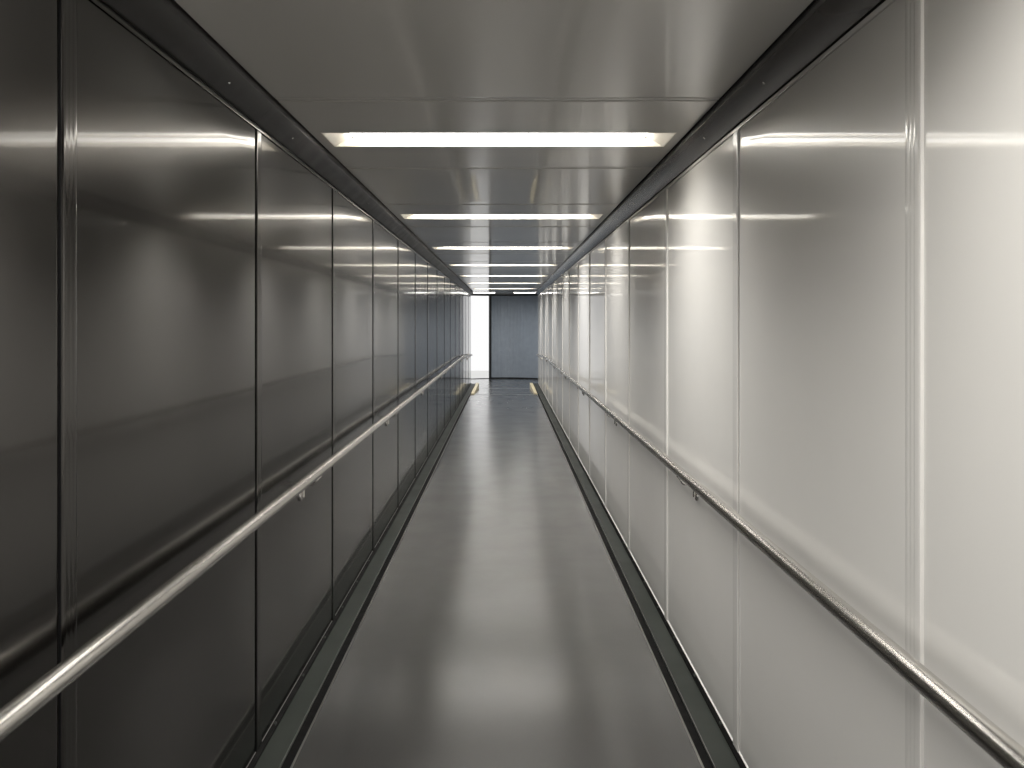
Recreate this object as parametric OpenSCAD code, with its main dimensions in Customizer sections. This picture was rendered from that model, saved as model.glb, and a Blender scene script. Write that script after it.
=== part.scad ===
// Jet bridge: one straight lined tunnel with a round cab at its far end, on two portal supports.
// Millimetres. X points right when walking from the near end to the cab, Y along the tunnel to the
// cab, Z up. The origin is on the ground, under the middle of the whole bridge.
// Inside the modules, y = 0 is the near end of the tunnel and z = 0 is the finished floor.

/* [Tunnel] */
// Length of one lining bay
bay_len = 1220; // [1150:10:1300]
// Number of lining bays, in whole outer sheets of four bays
n_bays = 16; // [8:4:16]
// Clear width between the wall linings
clear_w = 1740; // [1700:10:1900]
// Height of the ceiling over the finished floor
clear_h = 2375; // [2350:5:2500]
// Height of the finished floor over the ground
floor_z = 3500; // [3200:50:4200]

/* [Wall lining] */
// Thickness of the lining panels
lining_t = 20; // [15:1:30]
// Drop from the ceiling's face to the lining panels' top edge
lining_drop = 109; // [90:1:170]
// Height of the lining panels' foot
lining_foot = 25; // [20:1:50]
// Open joint between two panels
seam_gap = 10; // [5:1:12]
// Depth of the strip in a joint below the panels' face
seam_depth = 6; // [3:1:10]
// Height of the strip along the top of the panels
top_trim_h = 17; // [6:1:24]
// How far the top strip stands out of the panels
top_trim_proud = 1; // [1:1:6]
// Dark gap between the top strip and the cornice
shadow_gap = 10; // [8:1:30]
// Overhang of the cornice from the wall to the ceiling edge
cornice_w = 64; // [40:1:80]
// Height of the cornice's upright lip under the ceiling
cornice_lip = 23; // [10:1:30]
// Thickness of the cornice sheet
cornice_t = 12; // [8:1:18]

/* [Wall and roof shell] */
// Thickness of the insulated wall core
core_t = 50; // [40:5:80]
// Depth of the ribbed outer sheet
sheet_d = 40; // [25:1:60]
// Thickness of the outer sheet between its ribs
sheet_t = 12; // [8:1:20]
// Pitch of the outer sheet's ribs
rib_pitch = 200; // [150:5:300]
// Width of a rib at its foot
rib_foot_w = 90; // [60:1:110]
// Width of a rib at its top
rib_top_w = 50; // [30:1:58]
// Bays between two outer wall posts
post_bays = 4; // [2:2:4]
// Width of an outer wall post
post_w = 120; // [80:5:200]
// How far a post stands out of the ribbed sheet
post_proud = 15; // [5:1:18]
// How far the chords stand out of the ribbed sheet
chord_proud = 20; // [20:1:40]
// Depth of the bottom chords below the deck's top
bottom_chord_h = 394; // [380:2:450]
// Height of the top chords
top_chord_h = 140; // [120:5:200]
// Thickness of the roof at its edges
roof_edge_t = 20; // [15:1:40]
// Rise of the roof from its edge to its middle
roof_rise = 35; // [10:1:80]
// Height of a roof seam
roof_seam_h = 25; // [15:1:40]
// Width of a roof seam
roof_seam_w = 30; // [20:1:60]
// Width of the rain gutters
gutter_w = 50; // [40:1:80]
// Height of the rain gutters
gutter_h = 60; // [40:1:90]
// Sheet thickness of the rain gutters
gutter_t = 4; // [3:1:8]
// Width of a beam under the roof
roof_beam_w = 60; // [50:5:90]
// Thickness of the ceiling panels
ceiling_t = 30; // [12:1:40]
// Width of the strip between two ceiling panels
ceiling_strip_w = 40; // [12:1:60]
// Fine gap on each side of a ceiling strip
ceiling_gap = 3; // [2:1:5]

/* [Floor] */
// Thickness of the rubber floor covering
cover_t = 6; // [4:1:10]
// Width of the rubber floor covering
cover_w = 1446; // [1400:2:1500]
// Width of the bright trim along the covering's edges
edge_trim_w = 8; // [5:1:12]
// How far the edge trim stands over the floor
edge_trim_proud = 1; // [1:1:3]
// Thickness of the black strip in the groove beside the trim
seal_t = 3; // [2:1:3]
// Width of the raised strip along each wall
kerb_w = 90; // [70:1:100]
// Height of the raised strip over the floor
kerb_proud = 6; // [2:1:10]
// Width of the base trim on the floor side of the lining's face
base_trim_w = 15; // [10:1:20]
// Inset of the deck's edge from the lining's face
deck_inset = 10; // [5:1:10]
// Depth of the cross beams under the deck
cross_beam_h = 200; // [150:5:210]
// Width of a cross beam
cross_beam_w = 80; // [60:5:150]

/* [Ramp] */
// Length of the ramp down to the cab
ramp_len = 2990; // [2400:10:3600]
// Drop of the ramp
ramp_drop = 120; // [60:5:130]
// Thickness of the deck at the foot of the ramp
toe_t = 30; // [20:1:30]
// Width of the side fairings
fairing_w = 75; // [50:1:100]
// Height of the fairings over the tunnel's floor
fairing_proud = 25; // [10:1:40]
// Length of the threshold strip at the head of the ramp
threshold_len = 60; // [40:1:90]
// How far the threshold strip stands over the floor
threshold_proud = 2; // [1:1:4]

/* [Lights] */
// Length of a light across the tunnel
light_len = 1496; // [1300:2:1560]
// Width of a light along the tunnel
light_w = 250; // [200:2:360]
// Height of a light's housing over the ceiling's face
light_h = 78; // [66:1:110]
// Depth of a light's recess
light_recess = 55; // [45:1:60]
// Wall of a light's housing
light_wall = 3; // [2:1:5]
// Length of the sloped ends of a light
light_slope = 95; // [60:1:140]
// Width of the divider between a light's two lenses
divider_w = 24; // [16:1:40]
// Depth of the lens face over the ceiling's face
lens_inset = 19; // [12:1:28]
// Gap round a lens
lens_gap = 2; // [1:1:5]

/* [Handrails] */
// Diameter of the handrails
rail_d = 44; // [36:1:50]
// Height of the handrails over the floor
rail_z = 910; // [850:5:1000]
// Distance from the lining's face to the middle of the rail
rail_off = 70; // [62:1:75]
// Distance from the near end to the start of the rails
rail_y0 = 150; // [100:10:400]
// Distance from the bend of the rails to the tunnel's far end
rail_bend_back = 4850; // [4200:10:5200]
// Distance from the end of the rails to the tunnel's far end
rail_end_back = 1050; // [600:10:1500]
// Fall of the rails from their bend to their end
rail_fall = 120; // [60:5:150]
// Length of the sleeve that joins the rails' two lengths at the bend
sleeve_len = 60; // [40:5:120]
// Wall of the sleeve
sleeve_t = 3; // [2:1:5]
// Radius of the elbows at the ends of the rails
elbow_r = 48; // [40:1:50]
// Diameter of the round plates on the wall at the ends of the rails
return_plate_d = 70; // [60:1:90]
// Distance from a panel joint to the bracket beyond it
bracket_off = 600; // [200:10:650]
// Drop from the rail's axis to the middle of the bracket's wall plate
bracket_drop = 95; // [85:1:110]
// Diameter of a bracket's arm
bracket_rod_d = 12; // [10:1:14]
// Radius of the two bends in a bracket's arm
bracket_bend_r = 20; // [16:1:22]
// Diameter of the round plate on the wall
rosette_d = 50; // [44:1:70]
// Thickness of the round plate on the wall
rosette_t = 8; // [5:1:10]
// Length of the saddle under the rail
saddle_len = 80; // [50:1:100]
// Width of the saddle under the rail
saddle_w = 26; // [20:1:30]

/* [End frames] */
// Thickness of the frame at each end of the tunnel
portal_t = 80; // [60:5:120]
// How far the end frames stand out round the tunnel
portal_proud = 20; // [10:5:60]
// Diameter of the bolt holes in the near frame
flange_hole_d = 22; // [18:1:26]
// Height of the lowest row of flange holes
flange_row_z = -340; // [-340:10:-250]
// Spacing of the flange hole rows
flange_row_dz = 900; // [800:10:900]
// Rows of flange holes
flange_rows = 4; // [2:1:4]

/* [Cab] */
// Inner radius of the slat curtains
cab_r = 1850; // [1800:10:2100]
// Thickness of the curtains
curtain_t = 24; // [20:1:40]
// Width of a curtain slat
slat_w = 100; // [80:5:160]
// Depth of the groove between two slats
slat_groove = 6; // [3:1:8]
// Width of the curtain tracks
track_w = 54; // [50:1:70]
// Height of the floor track over the cab's deck
floor_track_h = 46; // [30:1:70]
// Height of the head track
head_track_h = 40; // [30:1:80]
// Height of the cab's ceiling over the tunnel's ceiling
cab_ceiling_rise = 55; // [25:5:60]
// Thickness of the cab's ceiling
cab_ceiling_t = 25; // [20:1:40]
// Height of the cab roof's rim
cab_roof_h = 80; // [60:5:90]
// Rise of the cab roof to its middle
cab_roof_rise = 55; // [20:5:60]
// Overhang of the cab's roof past its deck
cab_eave = 60; // [60:5:120]
// Thickness of the cab's deck
cab_deck_t = 130; // [100:5:130]
// Rim of the cab's deck outside the tracks
cab_rim = 13; // [5:1:40]
// Angle from straight ahead to the near side of the front opening, to the left
near_angle = 12.5; // [8:0.5:20]
// Angle from straight ahead to the far side of the front opening, to the left
far_angle = 74.5; // [60:0.5:85]
// Width of a post beside the front opening
front_post_w = 70; // [50:5:120]
// Distance from the end frame's side out to where the curtain meets the housing
arc_foot_off = 190; // [150:5:230]
// Width of a curtain housing across the bridge
housing_w = 340; // [300:5:400]
// Depth of a curtain housing along the bridge
housing_d = 220; // [180:5:260]
// Distance from a housing's outer side to where the curtain enters it
curtain_inset = 40; // [30:1:60]
// Thickness of the rubber bumper in front of the deck
bumper_t = 60; // [40:5:60]
// Height of the rubber bumper
bumper_h = 110; // [80:5:130]
// How far the bumper stands over the deck
bumper_rise = 20; // [0:5:40]
// Width of the cab's long beams
cab_beam_w = 140; // [100:5:200]
// Distance from the middle of the cab to its long beams' middle
cab_beam_x = 630; // [500:10:700]
// Length of a cab light
cab_light_len = 600; // [400:10:800]
// Distance of a cab light from the cab's middle plane
cab_light_x = 550; // [450:10:700]
// Distance of the cab lights behind the cab's centre
cab_light_back = 500; // [300:10:800]
// Width of a cab light
cab_light_w = 160; // [100:5:240]
// Depth of a cab light's body
cab_light_h = 30; // [20:1:60]

/* [Supports] */
// Joint of the lining over the near support
near_support_bay = 2; // [1:1:3]
// Joints between the far support and the far end
far_support_back = 3; // [2:1:4]
// Size of a square column
column_w = 300; // [220:10:320]
// Distance from the middle plane to a column's middle
column_x = 850; // [800:10:900]
// Depth of the head beam
head_beam_h = 350; // [250:10:450]
// Half length of the head beam
head_beam_x = 1150; // [1100:10:1300]
// Leg of the knee braces
knee_leg = 550; // [400:10:600]
// Width of the knee braces
knee_w = 120; // [80:5:180]
// Height of the tie beam's middle over the ground
tie_z = 1200; // [900:50:1500]
// Depth and width of the tie beam
tie_w = 200; // [140:10:260]
// Side of a base plate
plate_w = 600; // [560:10:700]
// Thickness of a base plate
plate_t = 40; // [25:5:60]
// Spacing of the anchor holes in a base plate
anchor_gap = 480; // [460:10:500]
// Diameter of the anchor holes
anchor_d = 28; // [22:1:36]
// Length of a gusset on a base plate
gusset_len = 120; // [80:10:130]
// Height of a gusset on a base plate
gusset_h = 250; // [150:10:350]
// Thickness of a gusset
gusset_t = 20; // [12:1:30]

/* [Hidden] */
$fn = 96;
// Overlap of a cutting tool past the face that it cuts
past = 10;
// Small clearance between pieces that lie side by side
clearance = 2;

// Lengths along the tunnel
tunnel_len = bay_len * n_bays;
ramp_y = tunnel_len - ramp_len;
cab_y0 = tunnel_len + portal_t;
housing_y1 = cab_y0 + housing_d;

// Widths from the middle plane outward
half_w = clear_w / 2;
core_x = half_w + lining_t;
sheet_x = core_x + core_t;
chord_x = sheet_x + sheet_d + chord_proud;
deck_x = half_w - deck_inset;
trim_x = cover_w / 2 + edge_trim_w;
kerb_x = half_w - base_trim_w - kerb_w;
cornice_x = half_w - cornice_w;
fairing_x = trim_x - fairing_w;
rail_x = half_w - rail_off;
portal_x = chord_x + gutter_w + portal_proud;
arc_foot_x = portal_x + arc_foot_off;
housing_x1 = arc_foot_x + curtain_inset;
housing_x0 = housing_x1 - housing_w;

// Heights from the bottom up
lining_top = clear_h - lining_drop;
deck_top = -cover_t;
deck_bottom = deck_top - ramp_drop - toe_t;
chord_bottom = deck_top - bottom_chord_h;
ceiling_top = clear_h + ceiling_t;
chord_top = ceiling_top + top_chord_h;
roof_edge_z = chord_top + roof_edge_t;
ridge_z = roof_edge_z + roof_rise;
portal_top = ridge_z + roof_seam_h + portal_proud;
cornice_foot_z = lining_top + top_trim_h + shadow_gap;

// Cab: its floor's face, its deck and its centre
cab_z = -ramp_drop;
cab_ceiling_z = clear_h + cab_ceiling_rise;
cab_deck_top = cab_z - cover_t;
cab_deck_bottom = cab_deck_top - cab_deck_t;
cab_cy = housing_y1 + sqrt(pow(cab_r, 2) - pow(arc_foot_x, 2));
arc_foot_a = 180 - asin(arc_foot_x / cab_r);
track_r0 = cab_r + curtain_t / 2 - track_w / 2;
track_r1 = track_r0 + track_w;
deck_r = track_r1 + cab_rim;
eave_r = deck_r + cab_eave;
floor_track_z = cab_deck_top + floor_track_h;
head_track_z = cab_ceiling_z - head_track_h;
cab_roof_z = cab_ceiling_z + cab_ceiling_t;
post_a = front_post_w / cab_r * 180 / PI;
shoulder_x = housing_x1 + 20;

// Handrail: its bend, its end and its slope
bend_y = tunnel_len - rail_bend_back;
end_y = tunnel_len - rail_end_back;
rail_slope = atan(rail_fall / (end_y - bend_y));
rail_run = (end_y - bend_y) / cos(rail_slope);

// The middle of the whole bridge along Y, and the lowest head beam face
mid_y = (cab_cy + eave_r - portal_t) / 2;
head_z = chord_bottom - head_beam_h;
ground = -floor_z;

// Puts a piece drawn from the near end and the finished floor into the bridge's frame
module in_place() {
    translate([0, -mid_y, floor_z]) children();
}

module both_sides() {
    children();
    mirror([1, 0, 0]) children();
}

// A box between two corners
module block(lo, hi) {
    translate(lo) cube(hi - lo);
}

// Extrudes an outline of x and z along the tunnel
module along_y(y0, y1) {
    translate([0, y1, 0]) rotate([90, 0, 0]) linear_extrude(y1 - y0) children();
}

// Extrudes an outline of y and z across the tunnel
module along_x(x0, x1) {
    translate([x0, 0, 0]) rotate([90, 0, 90]) linear_extrude(x1 - x0) children();
}

// A ring sector round the cab's centre, from angle a0 to a1 counted to the left of straight ahead
module sector(r0, r1, z0, z1, a0, a1) {
    translate([0, cab_cy, 0]) rotate([0, 0, 90 + a0])
        rotate_extrude(angle = a1 - a0) translate([r0, z0]) square([r1 - r0, z1 - z0]);
}

// A round slab of the cab with a straight neck to the tunnel's end frame
module cab_slab(r, z0, z1) {
    intersection() {
        union() {
            translate([0, cab_cy, z0]) cylinder(r = r, h = z1 - z0);
            block([-shoulder_x, cab_y0, z0], [shoulder_x, cab_cy - arc_foot_x, z1]);
        }
        block([-r, cab_y0, z0], [r, cab_cy + r, z1]);
    }
}

function clamp(v, lo, hi) = min(max(v, lo), hi);

// The middle of a crosswise beam of width w at panel joint i, kept inside the tunnel
function joint_y(i, w) = clamp(i * bay_len, w / 2, tunnel_len - w / 2);

// Height of the rail's axis at y
function rail_height(y) = rail_z - max(0, y - bend_y) * tan(rail_slope);

module end_frame(y0, y1, sill_z) {
    difference() {
        block([-portal_x, y0, chord_bottom], [portal_x, y1, portal_top]);
        block([-half_w, y0 - past, sill_z], [half_w, y1 + past, clear_h]);
    }
}

module near_portal() {
    hole_x = (chord_x + portal_x) / 2;
    color("dimgray") in_place() difference() {
        end_frame(-portal_t, 0, 0);
        both_sides() for (i = [0 : flange_rows - 1])
            translate([hole_x, past, flange_row_z + i * flange_row_dz])
                rotate([90, 0, 0]) cylinder(d = flange_hole_d, h = portal_t + 2 * past);
    }
}

module far_portal() {
    color("dimgray") in_place() end_frame(tunnel_len, cab_y0, cab_z);
}

module bottom_chords() {
    color("slategray") in_place() both_sides()
        block([deck_x, 0, chord_bottom], [chord_x, tunnel_len, deck_top]);
}

module top_chords() {
    color("slategray") in_place() both_sides()
        block([core_x, 0, ceiling_top], [chord_x, tunnel_len, chord_top]);
}

module floor_deck() {
    color("gray") in_place() difference() {
        block([-deck_x, 0, deck_bottom], [deck_x, tunnel_len, deck_top]);
        along_x(-trim_x, trim_x) polygon([
            [ramp_y, deck_top],
            [ramp_y, deck_top + past],
            [tunnel_len + past, deck_top + past],
            [tunnel_len + past, deck_top - ramp_drop * (ramp_len + past) / ramp_len]
        ]);
    }
}

module cross_beams() {
    color("slategray") in_place() for (i = [0 : n_bays])
        translate([0, joint_y(i, cross_beam_w), 0])
            block([-deck_x, -cross_beam_w / 2, deck_bottom - cross_beam_h],
                  [deck_x, cross_beam_w / 2, deck_bottom]);
}

module floor_covering() {
    color("dimgray") in_place()
        block([-cover_w / 2, 0, deck_top], [cover_w / 2, ramp_y - threshold_len, 0]);
}

module ramp_covering() {
    color("dimgray") in_place() along_x(-fairing_x, fairing_x) polygon([
        [ramp_y, deck_top],
        [ramp_y, 0],
        [tunnel_len, -ramp_drop],
        [tunnel_len, deck_top - ramp_drop]
    ]);
}

module ramp_fairings() {
    color("tan") in_place() both_sides() along_x(fairing_x, trim_x) polygon([
        [ramp_y, deck_top],
        [ramp_y, fairing_proud],
        [tunnel_len, fairing_proud],
        [tunnel_len, deck_top - ramp_drop]
    ]);
}

// The trims along the covering, the threshold of the ramp and the sill of the front opening
module floor_trims() {
    color("silver") in_place() {
        both_sides() block([cover_w / 2, 0, deck_top],
                           [trim_x, ramp_y - threshold_len, edge_trim_proud]);
        along_x(-trim_x, trim_x) polygon([
            [ramp_y - threshold_len, deck_top],
            [ramp_y - threshold_len, 0],
            [ramp_y - threshold_len * 0.8, threshold_proud],
            [ramp_y - threshold_len * 0.2, threshold_proud],
            [ramp_y, 0],
            [ramp_y, deck_top]
        ]);
        sector(track_r0, deck_r, cab_deck_top, cab_z, near_angle + post_a, far_angle - post_a);
    }
}

module side_seals() {
    color("black") in_place() both_sides()
        block([trim_x, 0, deck_top], [kerb_x, tunnel_len, deck_top + seal_t]);
}

module kerb_strips() {
    color("slategray") in_place() both_sides()
        block([kerb_x, 0, deck_top], [kerb_x + kerb_w, tunnel_len, kerb_proud]);
}

module base_trims() {
    foot_x = half_w - base_trim_w;
    color("silver") in_place() both_sides() along_y(0, tunnel_len) polygon([
        [foot_x, deck_top],
        [foot_x, lining_foot * 0.6],
        [half_w - clearance, lining_foot],
        [core_x, lining_foot],
        [core_x, deck_top]
    ]);
}

// Sixteen panels along one wall, with an open joint between each two
module lining_panels() {
    for (i = [0 : n_bays - 1])
        block([half_w, i * bay_len + seam_gap / 2, lining_foot],
              [core_x, (i + 1) * bay_len - seam_gap / 2, lining_top]);
}

module left_lining() {
    color("#3b3a37") in_place() mirror([1, 0, 0]) lining_panels();
}

module right_lining() {
    color("#b4b0a8") in_place() lining_panels();
}

module seam_strips() {
    for (i = [1 : n_bays - 1])
        block([half_w + seam_depth, i * bay_len - seam_gap / 2, lining_foot],
              [core_x, i * bay_len + seam_gap / 2, lining_top]);
}

module left_seam_strips() {
    color("black") in_place() mirror([1, 0, 0]) seam_strips();
}

module right_seam_strips() {
    color("gray") in_place() seam_strips();
}

module side_walls() {
    color("gainsboro") in_place() both_sides()
        block([core_x, 0, deck_top], [sheet_x, tunnel_len, ceiling_top]);
}

// Plan outline of a ribbed sheet between y0 and y1
function sheet_outline(y0, y1) =
    let (n = floor((y1 - y0) / rib_pitch), pitch = (y1 - y0) / n,
         low = sheet_x + sheet_t, high = sheet_x + sheet_d)
    concat(
        [[sheet_x, y1], [sheet_x, y0], [low, y0]],
        [for (i = [0 : n - 1],
              p = [[low, -rib_foot_w], [high, -rib_top_w], [high, rib_top_w], [low, rib_foot_w]])
            [p[0], y0 + (i + 0.5) * pitch + p[1] / 2]],
        [[low, y1]]
    );

// Where a post stands along the tunnel
function post_y(i) = joint_y(i * post_bays, post_w);

module outer_sheets() {
    color("whitesmoke") in_place() both_sides() for (i = [0 : n_bays / post_bays - 1])
        translate([0, 0, deck_top]) linear_extrude(ceiling_top - deck_top)
            polygon(sheet_outline(post_y(i) + post_w / 2, post_y(i + 1) - post_w / 2));
}

module wall_posts() {
    color("slategray") in_place() both_sides() for (i = [0 : n_bays / post_bays])
        translate([0, post_y(i), 0])
            block([sheet_x, -post_w / 2, deck_top],
                  [sheet_x + sheet_d + post_proud, post_w / 2, ceiling_top]);
}

module top_trims() {
    color("silver") in_place() both_sides()
        block([half_w - top_trim_proud, 0, lining_top],
              [core_x, tunnel_len, lining_top + top_trim_h]);
}

// A bent sheet that leans from the wall to an upright lip at the ceiling's edge
module cornices() {
    lip_z = clear_h - cornice_lip;
    color("#2d2b29") in_place() both_sides() along_y(0, tunnel_len) polygon([
        [half_w, cornice_foot_z],
        [cornice_x, lip_z],
        [cornice_x, ceiling_top],
        [cornice_x + cornice_t, ceiling_top],
        [cornice_x + cornice_t, lip_z + 3],
        [half_w + 7, cornice_foot_z + cornice_t],
        [core_x, cornice_foot_z + cornice_t],
        [core_x, cornice_foot_z]
    ]);
}

function light_y(i) = (2 * i + 0.5) * bay_len;

module ceiling_panels() {
    edge = ceiling_strip_w / 2 + ceiling_gap;
    color("#635f5a") in_place() difference() {
        for (i = [0 : n_bays - 1])
            block([-cornice_x, i * bay_len + edge, clear_h],
                  [cornice_x, (i + 1) * bay_len - edge, ceiling_top]);
        for (i = [0 : n_bays / 2 - 1])
            translate([0, light_y(i), clear_h])
                block([-light_len / 2, -light_w / 2, -past],
                      [light_len / 2, light_w / 2, ceiling_t + past]);
    }
}

module ceiling_strips() {
    color("#4a4743") in_place() for (i = [1 : n_bays - 1])
        block([-cornice_x, i * bay_len - ceiling_strip_w / 2, clear_h + 1],
              [cornice_x, i * bay_len + ceiling_strip_w / 2, ceiling_top]);
}

// A closed box with a recess whose ends slope, and a divider along its middle
module light_housing() {
    inner_x = light_len / 2 - light_wall;
    inner_y = light_w / 2 - light_wall;
    difference() {
        block([-light_len / 2, -light_w / 2, 0], [light_len / 2, light_w / 2, light_h]);
        along_y(-inner_y, inner_y) polygon([
            [-inner_x, -past],
            [-inner_x, 0],
            [light_slope - inner_x, light_recess],
            [inner_x - light_slope, light_recess],
            [inner_x, 0],
            [inner_x, -past]
        ]);
    }
    block([light_slope - inner_x, -divider_w / 2, lens_inset - 8],
          [inner_x - light_slope, divider_w / 2, light_recess]);
}

module light_housings() {
    color("#cfc4ae") in_place() for (i = [0 : n_bays / 2 - 1])
        translate([0, light_y(i), clear_h]) light_housing();
}

module light_lenses() {
    lens_x = light_len / 2 - light_wall - light_slope;
    color("white") in_place() {
        for (i = [0 : n_bays / 2 - 1], side = [0, 1])
            translate([0, light_y(i), clear_h]) mirror([0, side, 0])
                block([-lens_x, divider_w / 2 + lens_gap, lens_inset],
                      [lens_x, light_w / 2 - light_wall - lens_gap, light_recess]);
        both_sides() translate([cab_light_x, cab_cy - cab_light_back, cab_ceiling_z - cab_light_h])
            block([-cab_light_len / 2 + past, -cab_light_w / 2 + past, -12],
                  [cab_light_len / 2 - past, cab_light_w / 2 - past, 0]);
    }
}

module roof_beams() {
    color("slategray") in_place() for (i = [0 : n_bays])
        translate([0, joint_y(i, roof_beam_w), 0])
            block([-core_x, -roof_beam_w / 2, ceiling_top], [core_x, roof_beam_w / 2, chord_top]);
}

// Outline of the roof, raised by rise
function roof_outline(rise) = [
    [-chord_x, chord_top],
    [chord_x, chord_top],
    [chord_x, roof_edge_z + rise],
    [0, ridge_z + rise],
    [-chord_x, roof_edge_z + rise]
];

module roof() {
    color("lightgray") in_place() {
        along_y(0, tunnel_len) polygon(roof_outline(0));
        for (i = [0 : n_bays / 2])
            let (y = joint_y(2 * i, roof_seam_w))
                along_y(y - roof_seam_w / 2, y + roof_seam_w / 2) polygon(roof_outline(roof_seam_h));
    }
}

module gutters() {
    gutter_z = chord_top - gutter_h / 2;
    color("slategray") in_place() both_sides() along_y(0, tunnel_len) polygon([
        [chord_x, gutter_z],
        [chord_x + gutter_w, gutter_z],
        [chord_x + gutter_w, gutter_z + gutter_h],
        [chord_x + gutter_w - gutter_t, gutter_z + gutter_h],
        [chord_x + gutter_w - gutter_t, gutter_z + gutter_t],
        [chord_x, gutter_z + gutter_t]
    ]);
}

// A quarter bend from the rail to the wall and its round plate, seen from the rail's end
module rail_return() {
    translate([elbow_r, 0, 0]) rotate([0, 0, 180])
        rotate_extrude(angle = 90) translate([elbow_r, 0]) circle(d = rail_d);
    translate([elbow_r, -elbow_r, 0]) rotate([0, 90, 0])
        cylinder(d = rail_d, h = rail_off - elbow_r);
    translate([rail_off - rosette_t, -elbow_r, 0]) rotate([0, 90, 0])
        cylinder(d = return_plate_d, h = rosette_t);
}

module handrail() {
    start_y = rail_y0 + elbow_r;
    translate([rail_x, 0, rail_z]) {
        translate([0, start_y, 0]) {
            rotate([-90, 0, 0]) cylinder(d = rail_d, h = bend_y - sleeve_len / 4 - start_y);
            rail_return();
        }
        translate([0, bend_y, 0]) {
            rotate([-90 - rail_slope / 2, 0, 0])
                cylinder(d = rail_d + 2 * sleeve_t, h = sleeve_len, center = true);
            rotate([-rail_slope, 0, 0]) {
                translate([0, sleeve_len / 4, 0]) rotate([-90, 0, 0])
                    cylinder(d = rail_d, h = rail_run - elbow_r - sleeve_len / 4);
                translate([0, rail_run - elbow_r, 0]) mirror([0, 1, 0]) rail_return();
            }
        }
    }
}

module left_handrail() {
    color("silver") in_place() mirror([1, 0, 0]) handrail();
}

module right_handrail() {
    color("silver") in_place() handrail();
}

// A quarter bend of a bracket's arm, from straight down to straight towards the wall
module arm_bend() {
    translate([bracket_bend_r, 0, 0]) rotate([90, 0, 0]) rotate([0, 0, 180])
        rotate_extrude(angle = 90) translate([bracket_bend_r, 0]) circle(d = bracket_rod_d);
}

// Saddle, doubly bent arm and round wall plate, with the rail's axis at the origin. The arm goes down
// from the saddle, across towards the wall and down again over the face of the wall plate.
module rail_bracket() {
    plate_x = rail_off - rosette_t;
    leg_x = plate_x - bracket_rod_d / 2 + 1;
    saddle_z = -rail_d / 2 - 5;
    arm_z = saddle_z - bracket_bend_r;
    leg_z = arm_z - bracket_bend_r;
    difference() {
        block([-saddle_w / 2, -saddle_len / 2, saddle_z],
              [saddle_w / 2, saddle_len / 2, -rail_d / 2 + 3]);
        translate([0, -saddle_len, 0]) rotate([-90, 0, 0]) cylinder(d = rail_d, h = 2 * saddle_len);
    }
    translate([0, 0, saddle_z]) cylinder(d = bracket_rod_d, h = 3);
    translate([0, 0, saddle_z]) arm_bend();
    translate([bracket_bend_r, 0, arm_z]) rotate([0, 90, 0])
        cylinder(d = bracket_rod_d, h = leg_x - 2 * bracket_bend_r);
    translate([leg_x, 0, leg_z]) rotate([0, 180, 0]) arm_bend();
    translate([leg_x, 0, -bracket_drop - 8])
        cylinder(d = bracket_rod_d, h = bracket_drop + 8 + leg_z);
    translate([plate_x, 0, -bracket_drop]) rotate([0, 90, 0]) cylinder(d = rosette_d, h = rosette_t);
}

module rail_brackets() {
    color("silver") in_place() both_sides() for (i = [0 : n_bays / 2 - 1])
        let (y = 2 * i * bay_len + bracket_off, on_slope = y > bend_y)
            translate([rail_x, y, rail_height(y)]) rotate([on_slope ? -rail_slope : 0, 0, 0])
                rail_bracket();
}

module base_plate() {
    difference() {
        block([-plate_w / 2, -plate_w / 2, 0], [plate_w / 2, plate_w / 2, plate_t]);
        for (x = [-1, 1], y = [-1, 1])
            translate([x * anchor_gap / 2, y * anchor_gap / 2, -past])
                cylinder(d = anchor_d, h = plate_t + 2 * past);
    }
    for (a = [0 : 90 : 270])
        rotate([0, 0, a]) along_y(-gusset_t / 2, gusset_t / 2) polygon([
            [column_w / 2 - 1, plate_t],
            [column_w / 2 + gusset_len, plate_t],
            [column_w / 2 + gusset_len, plate_t + 20],
            [column_w / 2, plate_t + gusset_h],
            [column_w / 2 - 1, plate_t + gusset_h]
        ]);
}

// Two columns with a head beam, knee braces, a tie beam and base plates
module support() {
    inner_x = column_x - column_w / 2;
    band = knee_w * sqrt(2);
    block([-head_beam_x, -column_w / 2, head_z], [head_beam_x, column_w / 2, chord_bottom]);
    block([-inner_x, -tie_w / 2, ground + tie_z - tie_w / 2],
          [inner_x, tie_w / 2, ground + tie_z + tie_w / 2]);
    both_sides() {
        block([column_x - column_w / 2, -column_w / 2, ground + plate_t],
              [column_x + column_w / 2, column_w / 2, head_z]);
        translate([column_x, 0, ground]) base_plate();
        along_y(-knee_w / 2, knee_w / 2) polygon([
            [inner_x, head_z - knee_leg],
            [inner_x - knee_leg, head_z],
            [inner_x - knee_leg + band, head_z],
            [inner_x, head_z - knee_leg + band]
        ]);
    }
}

module near_support() {
    color("darkgray") in_place() translate([0, near_support_bay * bay_len, 0]) support();
}

module far_support() {
    color("darkgray") in_place()
        translate([0, tunnel_len - far_support_back * bay_len, 0]) support();
}

module cab_floor() {
    color("gray") in_place() cab_slab(deck_r, cab_deck_bottom, cab_deck_top);
}

module cab_mat() {
    color("dimgray") in_place() intersection() {
        union() {
            translate([0, cab_cy, cab_deck_top]) cylinder(r = track_r0 - clearance, h = cover_t);
            block([clearance - housing_x0, cab_y0, cab_deck_top],
                  [housing_x0 - clearance, cab_cy, cab_z]);
        }
        union() {
            block([clearance - housing_x0, cab_y0, cab_deck_top],
                  [housing_x0 - clearance, cab_cy, cab_z]);
            block([-cab_r, housing_y1 + clearance, cab_deck_top], [cab_r, cab_cy + cab_r, cab_z]);
        }
    }
}

module cab_ceiling() {
    color("#8c8984") in_place() cab_slab(deck_r, cab_ceiling_z, cab_roof_z);
}

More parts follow.
